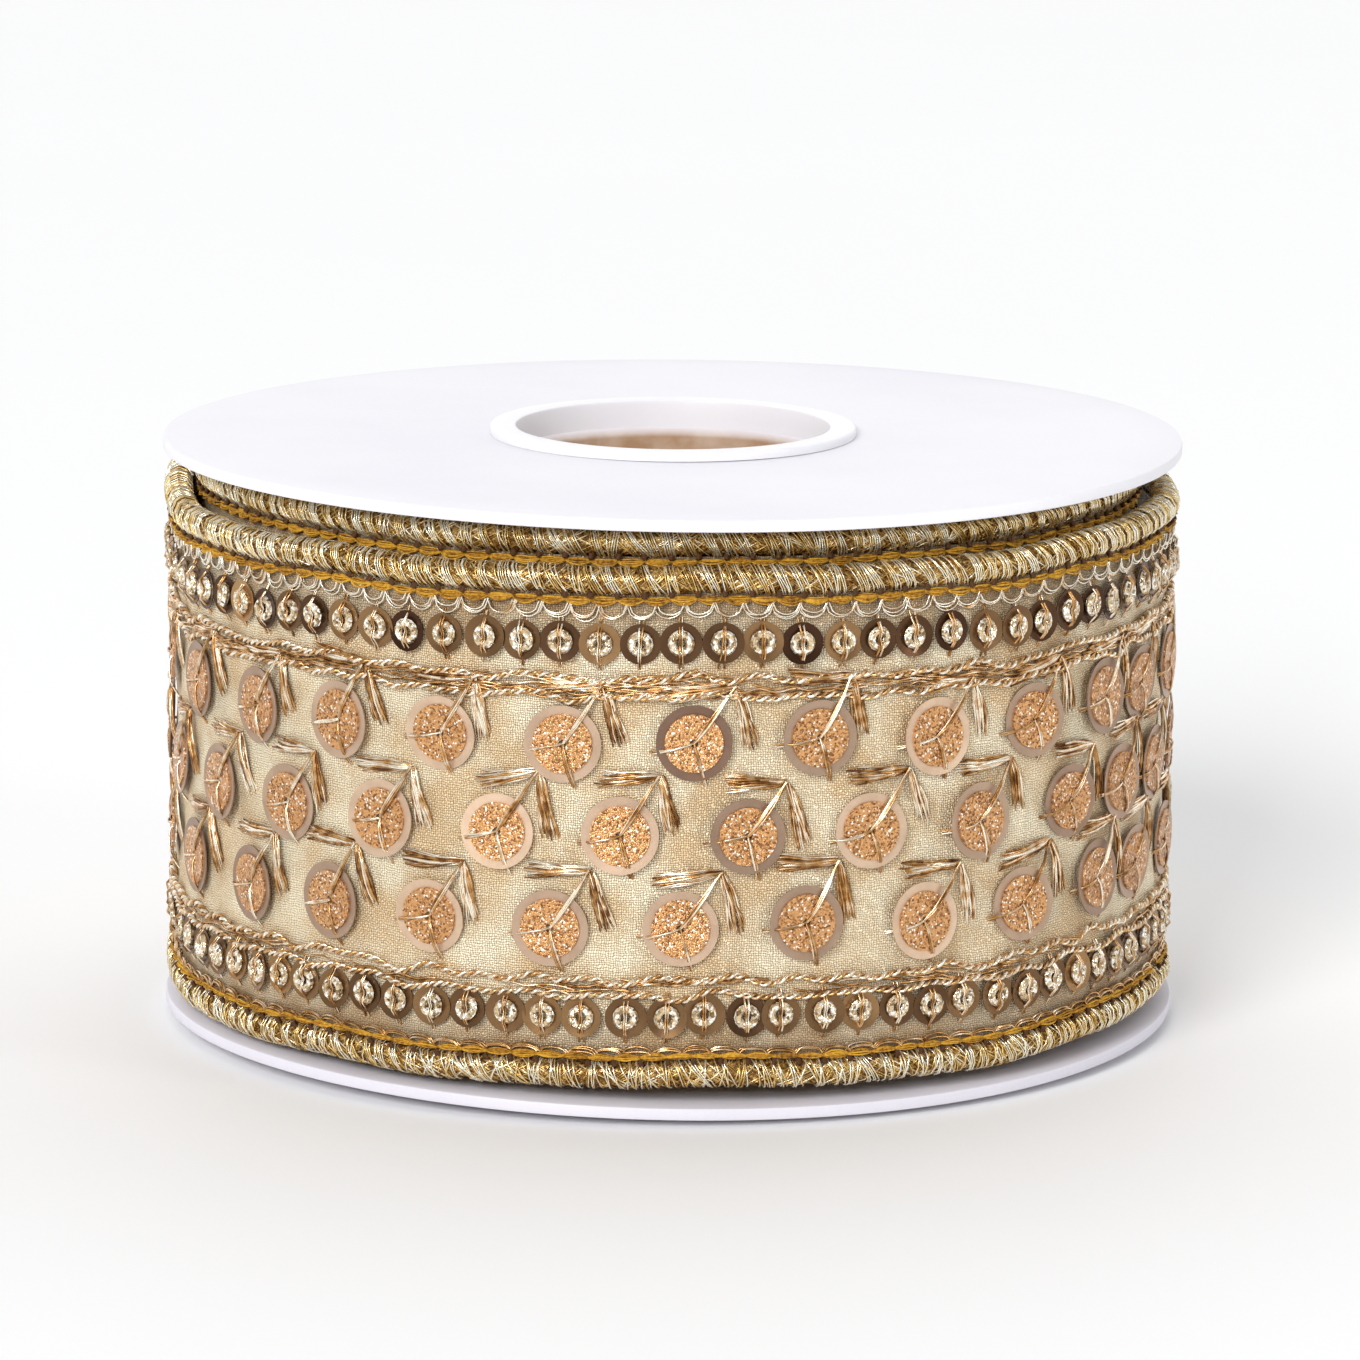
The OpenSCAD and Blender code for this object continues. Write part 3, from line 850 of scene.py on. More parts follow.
class Strands:
    """A bundle of polylines that becomes threads."""

    def __init__(self) -> None:
        """Starts an empty bundle."""
        self.points: list[np.ndarray] = []
        self.gauges: list[np.ndarray] = []
        self.tones: list[np.ndarray] = []
        self.edges: list[np.ndarray] = []
        self.count = 0

    def add(self, points: np.ndarray, gauge: Any, tone: Any, taper: float = 0.0) -> None:
        """Adds strands.

        Args:
            points: (strands, points, 3) in millimetres, or (points, 3) for one strand.
            gauge: radius in millimetres, one or one for each strand.
            tone: 0 dark to 1 light, one or one for each strand.
            taper: how much thinner the ends are, from 0 to 1.
        """
        points = np.asarray(points, float)
        if points.ndim == 2:
            points = points[None]
        strands, length = points.shape[:2]
        ends = 1 - taper * np.abs(np.linspace(-1, 1, length)) ** 4
        self.points.append(points.reshape(-1, 3))
        self.gauges.append((np.broadcast_to(gauge, strands)[:, None] * ends).ravel())
        self.tones.append(np.repeat(np.broadcast_to(tone, strands), length))
        first = self.count + np.arange(strands)[:, None] * length + np.arange(length - 1)
        self.edges.append(np.stack([first, first + 1], -1).reshape(-1, 2))
        self.count += strands * length

    def finish(
            self, name: str, finish: Finish, sides: int = 3, fuzz: float = 0.0,
            fuzz_scale: float = 900.0, seed: int = 1,
    ) -> bpy.types.Object:
        """Sweeps the bundle into one mesh object.

        Args:
            name: the object's name.
            finish: the threads' finish.
            sides: sides of each thread's section.
            fuzz: how far a thread wanders off its line, in millimetres.
            fuzz_scale: how quickly it wanders, per metre.
            seed: the wander's seed.

        Returns:
            The threads as one plain mesh object.
        """
        mesh = mesh_from(name, np.concatenate(self.points), np.concatenate(self.edges).tolist())
        store(mesh, "gauge", np.concatenate(self.gauges) * MM)
        store(mesh, "tone", np.concatenate(self.tones))
        return sweep_tree().run(
            name, mesh, Material=finish.material(), Sides=sides,
            Fuzz=fuzz * MM, Fuzz_Scale=fuzz_scale, Seed=seed)


def lathe(
        name: str, profile: Sequence[tuple[float, float]], segments: int, warp: float = 0.0,
) -> bpy.types.Object:
    """Turns a closed profile about the spool's axis.

    Args:
        name: the object's name.
        profile: (radius, height) corners in millimetres, counter-clockwise with radius to the right.
        segments: steps round the axis.
        warp: how far the rim rises and falls, in millimetres.

    Returns:
        The lathed object, with its hard edges marked.
    """
    corners = np.array(profile, float)
    angles = np.arange(segments) * FULL_TURN / segments
    radius, angle = corners[None, :, 0], angles[:, None]
    bends = np.sin(2 * angle + 0.6) + 0.4 * np.sin(3 * angle + 2.1)
    height = corners[None, :, 1] + warp * (radius / corners[:, 0].max()) ** 2 * bends
    points = np.stack(np.broadcast_arrays(radius * np.cos(angle), radius * np.sin(angle), height), -1)
    n = len(corners)
    faces = []
    for i in range(segments):
        a, b = i * n, (i + 1) % segments * n
        faces += [(a + j, b + j, b + (j + 1) % n, a + (j + 1) % n) for j in range(n)]
    mesh = mesh_from(name, points.reshape(-1, 3), faces=faces)
    mesh.polygons.foreach_set("use_smooth", [True] * len(mesh.polygons))
    mesh.set_sharp_from_angle(angle=math.radians(40))
    return new_object(name, mesh)


def deliver(
        piece: bpy.types.Object, body: Body, nodes: Sequence[str] = (),
        finish: Finish | None = None,
) -> bpy.types.Object:
    """Attaches a finished piece to its body, or fixes it in place for the free end, and hides the CAD nodes
    that it stands for.

    Args:
        piece: the finished object.
        body: the body that it rides on, or FREE_END for one that bends off the winding.
        nodes: the CAD nodes that it replaces.
        finish: its material, where its mesh has none yet.

    Returns:
        The piece.
    """
    if finish is not None:
        piece.data.materials.clear()
        piece.data.materials.append(finish.material())
    if body is Body.FREE_END:
        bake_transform(piece)
    else:
        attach(piece, body.value)
    if nodes:
        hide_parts(*nodes)
    LOG.info("%s: %d faces, on %s", piece.name, len(piece.data.polygons), body.value)
    return piece


# ---------------------------------------------------------------------------- the ribbon's route


def high(node: str, axis: int) -> float:
    """Highest coordinate of a CAD node in millimetres."""
    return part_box(node)[1][axis] / MM


def low(node: str, axis: int) -> float:
    """Lowest coordinate of a CAD node in millimetres."""
    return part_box(node)[0][axis] / MM


@dataclass(frozen=True)
class Route:
    """One layer of the ribbon: a slanted back half, a level front half and the free end."""

    outer_r: float
    pitch: float
    centre_z: float
    drop: float
    cord_v: float
    face: float = 0.35
    wobble: float = 1.0

    @classmethod
    def outermost(cls) -> "Route":
        """Reads the outermost layer from the frame.

        Returns:
            The route of the outermost layer.
        """
        top, bottom = high("tail_upper_cord", 2), low("tail_lower_cord", 2)
        cord_r = (top - low("tail_upper_cord", 2)) / 2
        outer_r = -low("outer_lower_cord", 0) - cord_r
        under_r = -low("winding_upper_cord", 0) - cord_r
        drop = high("winding_upper_cord", 2) - top
        return cls(outer_r, outer_r - under_r, (top + bottom) / 2, drop, (top - bottom) / 2 - cord_r)

    def under(self, layers: int) -> "Route":
        """Returns the layer that many turns further in."""
        return replace(
            self, outer_r=self.outer_r - layers * self.pitch, centre_z=self.centre_z + self.drop,
            drop=0.0, wobble=0.4)

    @property
    def half(self) -> float:
        """Arc from the middle of the front to either side."""
        return math.pi / 2 * (self.outer_r + self.face)

    @property
    def back(self) -> float:
        """Place where the slanted back half leaves the layer underneath."""
        return -self.half - math.pi * (self.outer_r - self.pitch / 2 + self.face)

    def polar(self, s: np.ndarray) -> tuple[np.ndarray, np.ndarray, np.ndarray]:
        """Returns the centre's x, the cords' radius and the angle at s.

        Args:
            s: places along the ribbon in millimetres.

        Returns:
            The centre's x, the cords' radius and the angle at each place.
        """
        front_r = self.outer_r + self.face
        slant_r, tail_r = self.outer_r - self.pitch / 2, self.outer_r + self.pitch / 2
        before, after = s < -self.half, s > self.half
        centre = np.where(before | after, -self.pitch / 2, 0.0)
        radius = np.where(before, slant_r, np.where(after, tail_r, self.outer_r))
        slanted = math.pi + (s + self.half) / (slant_r + self.face)
        angle = np.where(before, slanted, 1.5 * math.pi + s / front_r)
        angle = np.where(after, FULL_TURN + (s - self.half) / (tail_r + self.face), angle)
        return centre, radius, angle

    def at(self, s: Any, v: Any, h: Any) -> np.ndarray:
        """Returns points in millimetres for places on the ribbon.

        Args:
            s: places along the ribbon.
            v: places across it.
            h: heights over its face.

        Returns:
            (..., 3) points in millimetres.
        """
        s, v, h = np.broadcast_arrays(np.asarray(s, float), np.asarray(v, float), np.asarray(h, float))
        centre, radius, angle = self.polar(s)
        slope = np.where(s < -self.half, self.drop * (1 + np.cos(angle)) / 2, 0.0)
        rise = 0.75 / (1 + np.exp(-(s - 58) / 7.0))
        sway = 0.16 * np.sin(s / 7.3 + 1.0) + 0.1 * np.sin(s / 3.1) + rise
        if self.drop:
            sway = sway + 2.0 * np.exp(-((s + 86) / 13.0) ** 2) - 0.45 * np.exp(-((s + 48) / 13.0) ** 2)
        sway = self.wobble * sway
        breathe = self.wobble * (0.1 * np.sin(s / 5.2 + 0.4) - 0.12)
        bulge = 0.3 if self.drop else 0.75
        breathe = breathe + bulge * np.exp(-((s + self.half + 4) / 14.0) ** 2)
        reach = radius + self.face + h + breathe
        x, y = centre + reach * np.cos(angle), reach * np.sin(angle)
        return np.stack([x, y, self.centre_z + slope + sway + v], -1)

    def turns(self, s: np.ndarray, tilt: np.ndarray) -> np.ndarray:
        """Returns Euler turns that lay a flat piece on the cloth.

        Args:
            s: places along the ribbon.
            tilt: (pieces, 3) small turns of each piece about its own axes.

        Returns:
            (pieces, 3) Euler angles.
        """
        angles = self.polar(np.asarray(s, float))[2]
        turned = []
        for angle, lean in zip(angles, tilt):
            flat = Euler((math.pi / 2, 0, angle + math.pi / 2)).to_matrix()
            turned.append(tuple((flat @ Euler(tuple(lean)).to_matrix()).to_euler()))
        return np.array(turned)


@dataclass(frozen=True)
class Stretch:
    """A stretch of the ribbon that is made as one set of pieces."""

    prefix: str
    start: float
    stop: float
    body: Body
    seed: int

    def steps(self, pitch: float, phase: float = 0.0) -> np.ndarray:
        """Returns the places along this stretch at a pitch, counted from a phase."""
        first, last = math.ceil((self.start - phase) / pitch), math.floor((self.stop - phase) / pitch)
        return phase + pitch * np.arange(first, last + 1)

    def random(self, salt: int) -> np.random.Generator:
        """Returns a fixed random generator for one kind of piece."""
        return np.random.default_rng(self.seed * 100 + salt)

    def nodes(self, outer: Sequence[str], tail: str, first: bool = True) -> list[str]:
        """Returns the CAD nodes that a piece of this stretch stands for.

        Args:
            outer: the nodes of the outermost turn.
            tail: the one node of the free end.
            first: whether the piece is the first of its kind, which stands for the free end's node.

        Returns:
            The names of the nodes.
        """
        if self.prefix == "outer":
            return list(outer)
        return [tail] if first else []


def edge_name(side: int) -> str:
    """Names the ribbon's edge: upper for side 1, lower for side -1."""
    return "upper" if side > 0 else "lower"


def ripple(
        rng: np.random.Generator, s: np.ndarray, size: float, longest: float, shortest: float,
) -> np.ndarray:
    """Makes a smooth random wave of five sines.

    Args:
        rng: the random generator.
        s: places along the ribbon.
        size: the wave's height in millimetres.
        longest: the longest wavelength in millimetres.
        shortest: the shortest wavelength in millimetres.

    Returns:
        The wave's height at each place.
    """
    total = np.zeros_like(s, float)
    for wave in np.geomspace(longest, shortest, 5):
        phase = FULL_TURN * s / (wave * rng.uniform(0.85, 1.15)) + rng.uniform(0, FULL_TURN)
        total += np.sin(phase) * rng.uniform(0.5, 1)
    return size * total / 2.2


# ---------------------------------------------------------------------------- the spool


@dataclass
class Spool:
    """The board discs and the two-piece hub."""

    rim_soft: float = 0.25
    disc_segments: int = 240
    upper_warp: float = 0.16
    lower_warp: float = 0.22
    hole_step: float = 1.14
    fillet: float = 0.3
    collar_h: float = 0.85
    neck_step: float = 1.2
    tube_step: float = 1.8
    neck_top: float = 2.15
    bead_step: float = 0.5
    bead_h: float = 0.4
    mouth_step: float = 0.8
    mouth_depth: float = 2.7
    segments: int = 160

    def make(self) -> None:
        """Makes the discs and the hub halves."""
        for node, body in (("lower_disc", Body.LOWER_DISC), ("upper_disc", Body.UPPER_DISC)):
            self.disc(node, body)
        self.hub_half("lower_hub_half", False)
        self.hub_half("upper_hub_half", True)

    def disc(self, node: str, body: Body) -> None:
        """Makes one slightly warped board disc with a soft rim.

        Args:
            node: the CAD node that it stands for.
            body: the body that it rides on.
        """
        bottom, top, rim = low(node, 2), high(node, 2), high(node, 1)
        hole = high("lower_hub_half", 0) - self.hole_step
        soft = self.rim_soft
        rings = [hole + (rim - soft - hole) * k / 8 for k in range(9)]
        profile = [(r, bottom) for r in rings]
        bevel = soft * 0.3
        profile += [(rim - bevel, bottom + bevel), (rim, bottom + soft)]
        profile += [(rim, top - soft), (rim - bevel, top - bevel)]
        profile += [(r, top) for r in reversed(rings)]
        upper = body is Body.UPPER_DISC
        warp = self.upper_warp if upper else self.lower_warp
        made = lathe(node + "_board", profile, self.disc_segments, warp)
        deliver(made, body, [node], BOARD if upper else SHADED_BOARD)

    def hub_half(self, node: str, flipped: bool) -> None:
        """Makes one hub half, from its collar to the line where the halves meet.

        Args:
            node: the CAD node that it stands for.
            flipped: whether it is the upper half, which has the spigot.
        """
        total = high("upper_hub_half", 2)
        middle, collar_r, fillet = total / 2, high(node, 0), self.fillet
        bore = frame["record"]["mounts"][0]["dims"]["r_mm"]
        collar_h, neck_top = self.collar_h, self.neck_top
        neck_r, tube_r = collar_r - self.neck_step, collar_r - self.tube_step
        mouth_r, spigot = bore + self.mouth_step, total / 2 - low("upper_hub_half", 2)
        curve = [
            (collar_r - fillet * (1 - math.sin(a)), fillet * (1 - math.cos(a)))
            for a in np.linspace(0, math.pi / 2, 5)]
        outside = curve + [
            (collar_r, collar_h), (neck_r, collar_h), (neck_r, neck_top),
            (neck_r + self.bead_step, neck_top), (neck_r + 0.3, neck_top + self.bead_h),
            (tube_r, neck_top + self.bead_h), (tube_r, middle)]
        mouth = [
            (bore, 3.5), (bore + 0.1, 3.2), (mouth_r, self.mouth_depth), (mouth_r, fillet),
            (mouth_r + fillet * 0.3, fillet * 0.3), (mouth_r + fillet, 0)]
        if flipped:
            inside = [(mouth_r - 0.03, middle), (mouth_r - 0.03, middle + spigot), (bore, middle + spigot)]
        else:
            inside = [(mouth_r, middle), (mouth_r, middle - spigot - 0.3), (bore, middle - spigot - 0.3)]
        profile = outside + inside + mouth
        if flipped:
            profile = [(r, total - z) for r, z in reversed(profile)]
        made = lathe(node + "_shell", profile, self.segments)
        deliver(made, Body.CORE, [node], FROSTED)


# ---------------------------------------------------------------------------- the ribbon's pieces


def thin_sheet(name: str, front: np.ndarray, back: np.ndarray, flat: np.ndarray) -> bpy.types.Object:
    """Makes a closed thin sheet from two grids of points and their flat map.

    Args:
        name: the object's name.
        front: (rows, columns, 3) points of the front face in millimetres.
        back: the same for the back face.
        flat: (rows, columns, 2) places on the flat cloth in millimetres.

    Returns:
        The sheet, with its flat map as the UV map "ribbon".
    """
    rows, columns = front.shape[:2]
    index = np.arange(rows * columns).reshape(rows, columns)
    a, b = index[:-1, :-1].ravel(), index[1:, :-1].ravel()
    c, d = index[1:, 1:].ravel(), index[:-1, 1:].ravel()
    n = rows * columns
    faces = np.concatenate([np.stack([a, b, c, d], 1), np.stack([d, c, b, a], 1) + n])
    loop = np.concatenate([index[:, 0], index[-1, 1:], index[-2::-1, -1], index[0, -2:0:-1]])
    after = np.roll(loop, -1)
    rim = np.stack([loop, loop + n, after + n, after], 1)
    points = np.concatenate([front.reshape(-1, 3), back.reshape(-1, 3)])
    mesh = mesh_from(name, points, faces=np.concatenate([faces, rim]).tolist())
    mesh.polygons.foreach_set("use_smooth", [True] * len(mesh.polygons))
    corner = np.empty(len(mesh.loops), np.int32)
    mesh.loops.foreach_get("vertex_index", corner)
    places = np.tile(flat.reshape(-1, 2), (2, 1))
    mesh.uv_layers.new(name="ribbon").data.foreach_set("uv", places[corner].astype(np.float32).ravel())
    return new_object(name, mesh)


@dataclass
class Cloth:
    """The ground cloth of a stretch of ribbon, puckered where it is sewn."""

    route: Route
    reach_v: float = 22.6
    thickness: float = 0.3
    step: float = 0.75

    def relief(self, s: np.ndarray, v: np.ndarray, rng: np.random.Generator) -> np.ndarray:
        """Returns how far the cloth stands out at each place.

        Args:
            s: places along the ribbon.
            v: places across it.
            rng: the random generator.

        Returns:
            The heights in millimetres.
        """
        ribs = np.exp(-((v - 11.0) / 1.6) ** 2) + np.exp(-((v + 13.0) / 1.4) ** 2)
        total = 0.05 * ribs * np.sin(FULL_TURN * s / 1.5 + 2.0 * np.sin(s / 5))
        for _ in range(14):
            angle, wave = rng.uniform(0, FULL_TURN), rng.uniform(4.0, 11.0)
            phase = (s * math.cos(angle) + v * math.sin(angle)) * FULL_TURN / wave + rng.uniform(0, FULL_TURN)
            total = total + 0.032 * np.sin(phase)
        return total

    def make(self, stretch: Stretch, nodes: Sequence[str]) -> bpy.types.Object:
        """Makes the cloth as a thin closed sheet.

        Args:
            stretch: the stretch to make.
            nodes: the CAD nodes that it stands for.

        Returns:
            The cloth's object.
        """
        rng = stretch.random(1)
        along = np.linspace(stretch.start, stretch.stop, int((stretch.stop - stretch.start) / self.step) + 1)
        across = np.linspace(-self.reach_v, self.reach_v, int(2 * self.reach_v / self.step) + 1)
        s, v = np.meshgrid(along, across, indexing="ij")
        edge = 1 - np.clip((np.abs(v) - 20.6) / 2.0, 0, 1)
        out = self.relief(s, v, rng) - (1 - edge) * 0.6
        front = self.route.at(s, v, out)
        back = self.route.at(s, v, out - self.thickness)
        made = thin_sheet(stretch.prefix + "_cloth", front, back, np.stack([s, v], -1))
        deliver(made, stretch.body, nodes, TISSUE)
        return made


@dataclass
class EdgeCord:
    """A thick edge cord: a dark core under crossing groups of metallic wraps; the core's darkness is partly
    its fibres and partly painted shade between the wraps.
    """

    route: Route
    side: int
    group_pitch: float = 1.75
    strands: int = 5
    strand_gap: float = 0.23
    core_r: float = 1.12

    def make(self, stretch: Stretch, nodes: Sequence[str]) -> None:
        """Makes the core and its wraps.

        Args:
            stretch: the stretch to make.
            nodes: the CAD nodes that it stands for.
        """
        label = f"{stretch.prefix}_{edge_name(self.side)}_cord"
        r = self.route
        core = Strands()
        run = np.arange(stretch.start, stretch.stop + 0.6, 1.2)
        core.add(r.at(run, self.side * r.cord_v, -r.face), self.core_r, 0.4)
        deliver(core.finish(label + "_core", CORD_CORE, sides=12), stretch.body, nodes)
        rng = stretch.random(10 + self.side)
        wraps = Strands()
        groups = stretch.steps(self.group_pitch)
        centre = np.repeat(groups + rng.normal(0, 0.16, len(groups)), self.strands)
        beside = np.tile(np.arange(self.strands), len(groups)) - (self.strands - 1) / 2
        place = centre + beside * self.strand_gap
        slant, scatter = (0.6, 0.12) if self.side > 0 else (0.35, 0.4)
        lean = np.repeat(rng.normal(slant, 0.2, len(groups)), self.strands)
        lean = lean + rng.normal(0, scatter, len(place))
        bright = rng.choice([0.98, 0.7, 0.4], len(place), p=[0.5, 0.22, 0.28])
        bright = bright + rng.normal(0, 0.06, len(place))
        outer = 1.4 + rng.uniform(-0.07, 0.06, len(place))
        self.loops(wraps, place, lean, outer, 0.09, bright)
        cross = stretch.steps(0.3)
        slope = rng.choice([-1.0, 1.0], len(cross)) * rng.uniform(0.4, 3.0, len(cross))
        dull = rng.choice([0.05, 0.4, 0.9], len(cross), p=[0.42, 0.4, 0.18])
        inner = 1.22 + rng.uniform(-0.06, 0.08, len(cross))
        self.loops(wraps, cross, slope, inner, 0.085, dull)
        made = wraps.finish(label + "_wraps", CORD_WRAP, fuzz=0.16, fuzz_scale=900.0, seed=stretch.seed)
        deliver(made, stretch.body)

    def loops(
            self, wraps: Strands, place: np.ndarray, lean: np.ndarray, radius: np.ndarray,
            gauge: float, tone: np.ndarray,
    ) -> None:
        """Adds leaning loops round the cord, open where it lies on the turn underneath.

        Args:
            wraps: the bundle to add to.
            place: where each loop lies along the cord, in millimetres.
            lean: how far each loop leans along the cord, in millimetres.
            radius: each loop's radius in millimetres.
            gauge: the thread's radius in millimetres.
            tone: each loop's tone.
        """
        low_end, high_end = (-2.3, 2.75) if self.side > 0 else (-2.75, 2.3)
        angle = np.linspace(low_end, high_end, 9)[None, :]
        s = place[:, None] - lean[:, None] * np.sin(angle)
        v = self.side * self.route.cord_v + radius[:, None] * np.sin(angle)
        h = radius[:, None] * np.cos(angle) - self.route.face
        wraps.add(self.route.at(s, v, h), gauge, np.clip(tone, 0, 1))


@dataclass
class LockStitch:
    """The ochre chain stitch that locks the cord's wraps to the cloth."""

    route: Route
    side: int
    link: float = 2.45
    stitch_v: float = 21.65

    def make(self, stretch: Stretch, nodes: Sequence[str]) -> None:
        """Makes the links, each a lens of soft fibres, and a dark stub at each joint that is painted shade
        for the hole there.

        Args:
            stretch: the stretch to make.
            nodes: the CAD nodes that it stands for.
        """
        rng = stretch.random(20 + self.side)
        places = stretch.steps(self.link)[:-1]
        fibres = Strands()
        t = np.linspace(0, 1, 7)
        wide = 0.36 if self.side > 0 else 0.26
        for bulge in np.linspace(-wide, wide, 7):
            bend = bulge + rng.normal(0, 0.05, (len(places), 1))
            rise = rng.uniform(0.3, 0.6, (len(places), 1))
            s = places[:, None] + t * self.link * 1.08 - 0.1
            arch = np.sin(math.pi * t)
            v = self.side * (self.stitch_v + bend * (0.2 + 0.8 * arch) - 0.16 * arch)
            h = 0.2 + rise * np.sin(math.pi * t) ** 0.7
            fibres.add(self.route.at(s, v, h), 0.12, rng.uniform(0.35, 0.95, len(places)))
        # Painted shade: a thick strand in the darkest tone at each joint stands for the shaded hole between
        # two links.
        hole_shade = np.linspace(0, 1, 4)
        s = places[:, None] + rng.normal(0, 0.06, (len(places), 1)) + 0.1 * hole_shade
        v = self.side * (self.stitch_v + 0.2 + 0.45 * hole_shade) + 0 * s
        fibres.add(self.route.at(s, v, 0.78 - 0.25 * hole_shade), 0.3, np.full(len(places), -0.3))
        name = f"{stretch.prefix}_{edge_name(self.side)}_lock_stitch"
        made = fibres.finish(name, OCHRE, fuzz=0.2, fuzz_scale=1300.0, seed=stretch.seed)
        deliver(made, stretch.body, nodes)


@dataclass
class Scallops:
    """Fine loops of thread that hang from the lock stitch."""

    route: Route
    pitch: float = 2.65
    upper_depth: float = 1.45
    lower_depth: float = 0.55

    def add(self, threads: Strands, stretch: Stretch, side: int) -> None:
        """Adds one edge's loops to a bundle: open ones above and shallow, duller ones below.

        Args:
            threads: the bundle to add to.
            stretch: the stretch to make.
            side: 1 for the upper edge, -1 for the lower.
        """
        rng = stretch.random(30 + side)
        places = stretch.steps(self.pitch)
        full, dimmest = (self.upper_depth, 0.8) if side > 0 else (self.lower_depth, 0.3)
        t = np.linspace(-1, 1, 9)
        for k in range(3):
            depth = full * (1 - 0.11 * k) + rng.normal(0, 0.13, (len(places), 1))
            s = places[:, None] + t * (1.45 - 0.1 * k) + rng.normal(0, 0.1, (len(places), 1))
            v = side * (21.3 - depth * np.sqrt(np.clip(1 - t**2, 0, 1)))
            h = 0.28 + 0.12 * k + 0.1 * t + rng.uniform(-0.05, 0.08, (len(places), 1))
            threads.add(self.route.at(s, v, h), 0.12, rng.uniform(dimmest, dimmest + 0.3, len(places)))


@dataclass
class BorderRow:
    """A row of small sequins, each with a ring bead tied through its middle."""

    route: Route
    side: int
    pitch: float = 3.735
    phase: float = 1.07
    centre_v: float = 17.65
    sequin_r: float = 1.93
    hole_r: float = 0.35
    bead_r: float = 1.22
    bead_hole: float = 0.42
    tie_r: float = 0.115

    def places(self, stretch: Stretch) -> tuple[np.ndarray, np.ndarray]:
        """Returns where the sequins lie along and across.

        Args:
            stretch: the stretch to make.

        Returns:
            The places along and across, in millimetres.
        """
        rng = stretch.random(40 + self.side)
        s = stretch.steps(self.pitch, self.phase if self.side > 0 else self.phase - 1.4)
        return s + rng.normal(0, 0.14, len(s)), self.side * self.centre_v + rng.normal(0, 0.13, len(s))

    def points(self, stretch: Stretch, h: float, lean: float, salt: int) -> bpy.types.Mesh:
        """Returns a point mesh with each piece's turn and tone.

        Args:
            stretch: the stretch to make.
            h: height over the cloth in millimetres.
            lean: how far the pieces lean, in radians.
            salt: picks the random numbers.

        Returns:
            The point mesh.
        """
        rng = stretch.random(salt + self.side)
        s, v = self.places(stretch)
        n = len(s)
        tilt = np.stack([rng.normal(0, lean, n), rng.normal(0, lean, n), rng.uniform(0, FULL_TURN, n)], 1)
        mesh = mesh_from("row", self.route.at(s, v, h + 0.04 * (np.arange(n) % 2)))
        store(mesh, "turn", self.route.turns(s, tilt), "FLOAT_VECTOR")
        # Painted reflection: each small sequin's tone makes it light or dark by how it would catch the light.
        tones = [0.08, 0.28, 0.6, 0.95] if self.side > 0 else [0.22, 0.38, 0.5, 0.75]
        reflection_tone = rng.choice(tones, n, p=[0.42, 0.3, 0.18, 0.1])
        store(mesh, "tone", np.clip(reflection_tone + rng.normal(0, 0.06, n), 0, 1))
        return mesh

    def make(self, stretch: Stretch, sequin_nodes: Sequence[str], bead_nodes: Sequence[str]) -> None:
        """Makes the sequins and the beads.

        Args:
            stretch: the stretch to make.
            sequin_nodes: the CAD nodes that the sequins stand for.
            bead_nodes: the CAD nodes that the beads stand for.
        """
        edge = edge_name(self.side)
        sequin = Ring(self.sequin_r, self.hole_r, 0.04, 0.08, segments=28, seed=3)
        source = self.points(stretch, 0.3, 0.06, 50)
        made = sequin.scatter(f"{stretch.prefix}_{edge}_border_sequins", source, BRONZE)
        deliver(made, stretch.body, sequin_nodes)
        bead = Ring(self.bead_r, self.bead_hole, 0.36, 0.0, segments=13, seed=5, faceted=True)
        source = self.points(stretch, 0.66, 0.1, 60)
        made = bead.scatter(f"{stretch.prefix}_{edge}_seed_beads", source, CRYSTAL)
        deliver(made, stretch.body, bead_nodes)

    def add_ties(self, threads: Strands, stretch: Stretch) -> None:
        """Adds the two threads that run over each bead and through its hole.

        Args:
            threads: the bundle to add to.
            stretch: the stretch to make.
        """
        rng = stretch.random(70 + self.side)
        s, v = self.places(stretch)
        down = np.array([2.35, 1.6, 0.95, 0.45, 0.0, -0.5, -1.0, -1.65, -2.5])
        out = np.array([0.1, 0.5, 1.1, 1.02, 0.75, 0.95, 1.1, 0.5, 0.05])
        for offset in (-0.17, 0.15):
            drift = rng.normal(0, 0.12, (len(s), 1))
            bow = offset * (0.6 + 0.4 * np.abs(down / 2.4)) + drift * down / 2.4
            places = self.route.at(s[:, None] + bow, v[:, None] + down, out)
            threads.add(places, self.tie_r, rng.uniform(0.3, 0.95, len(s)))


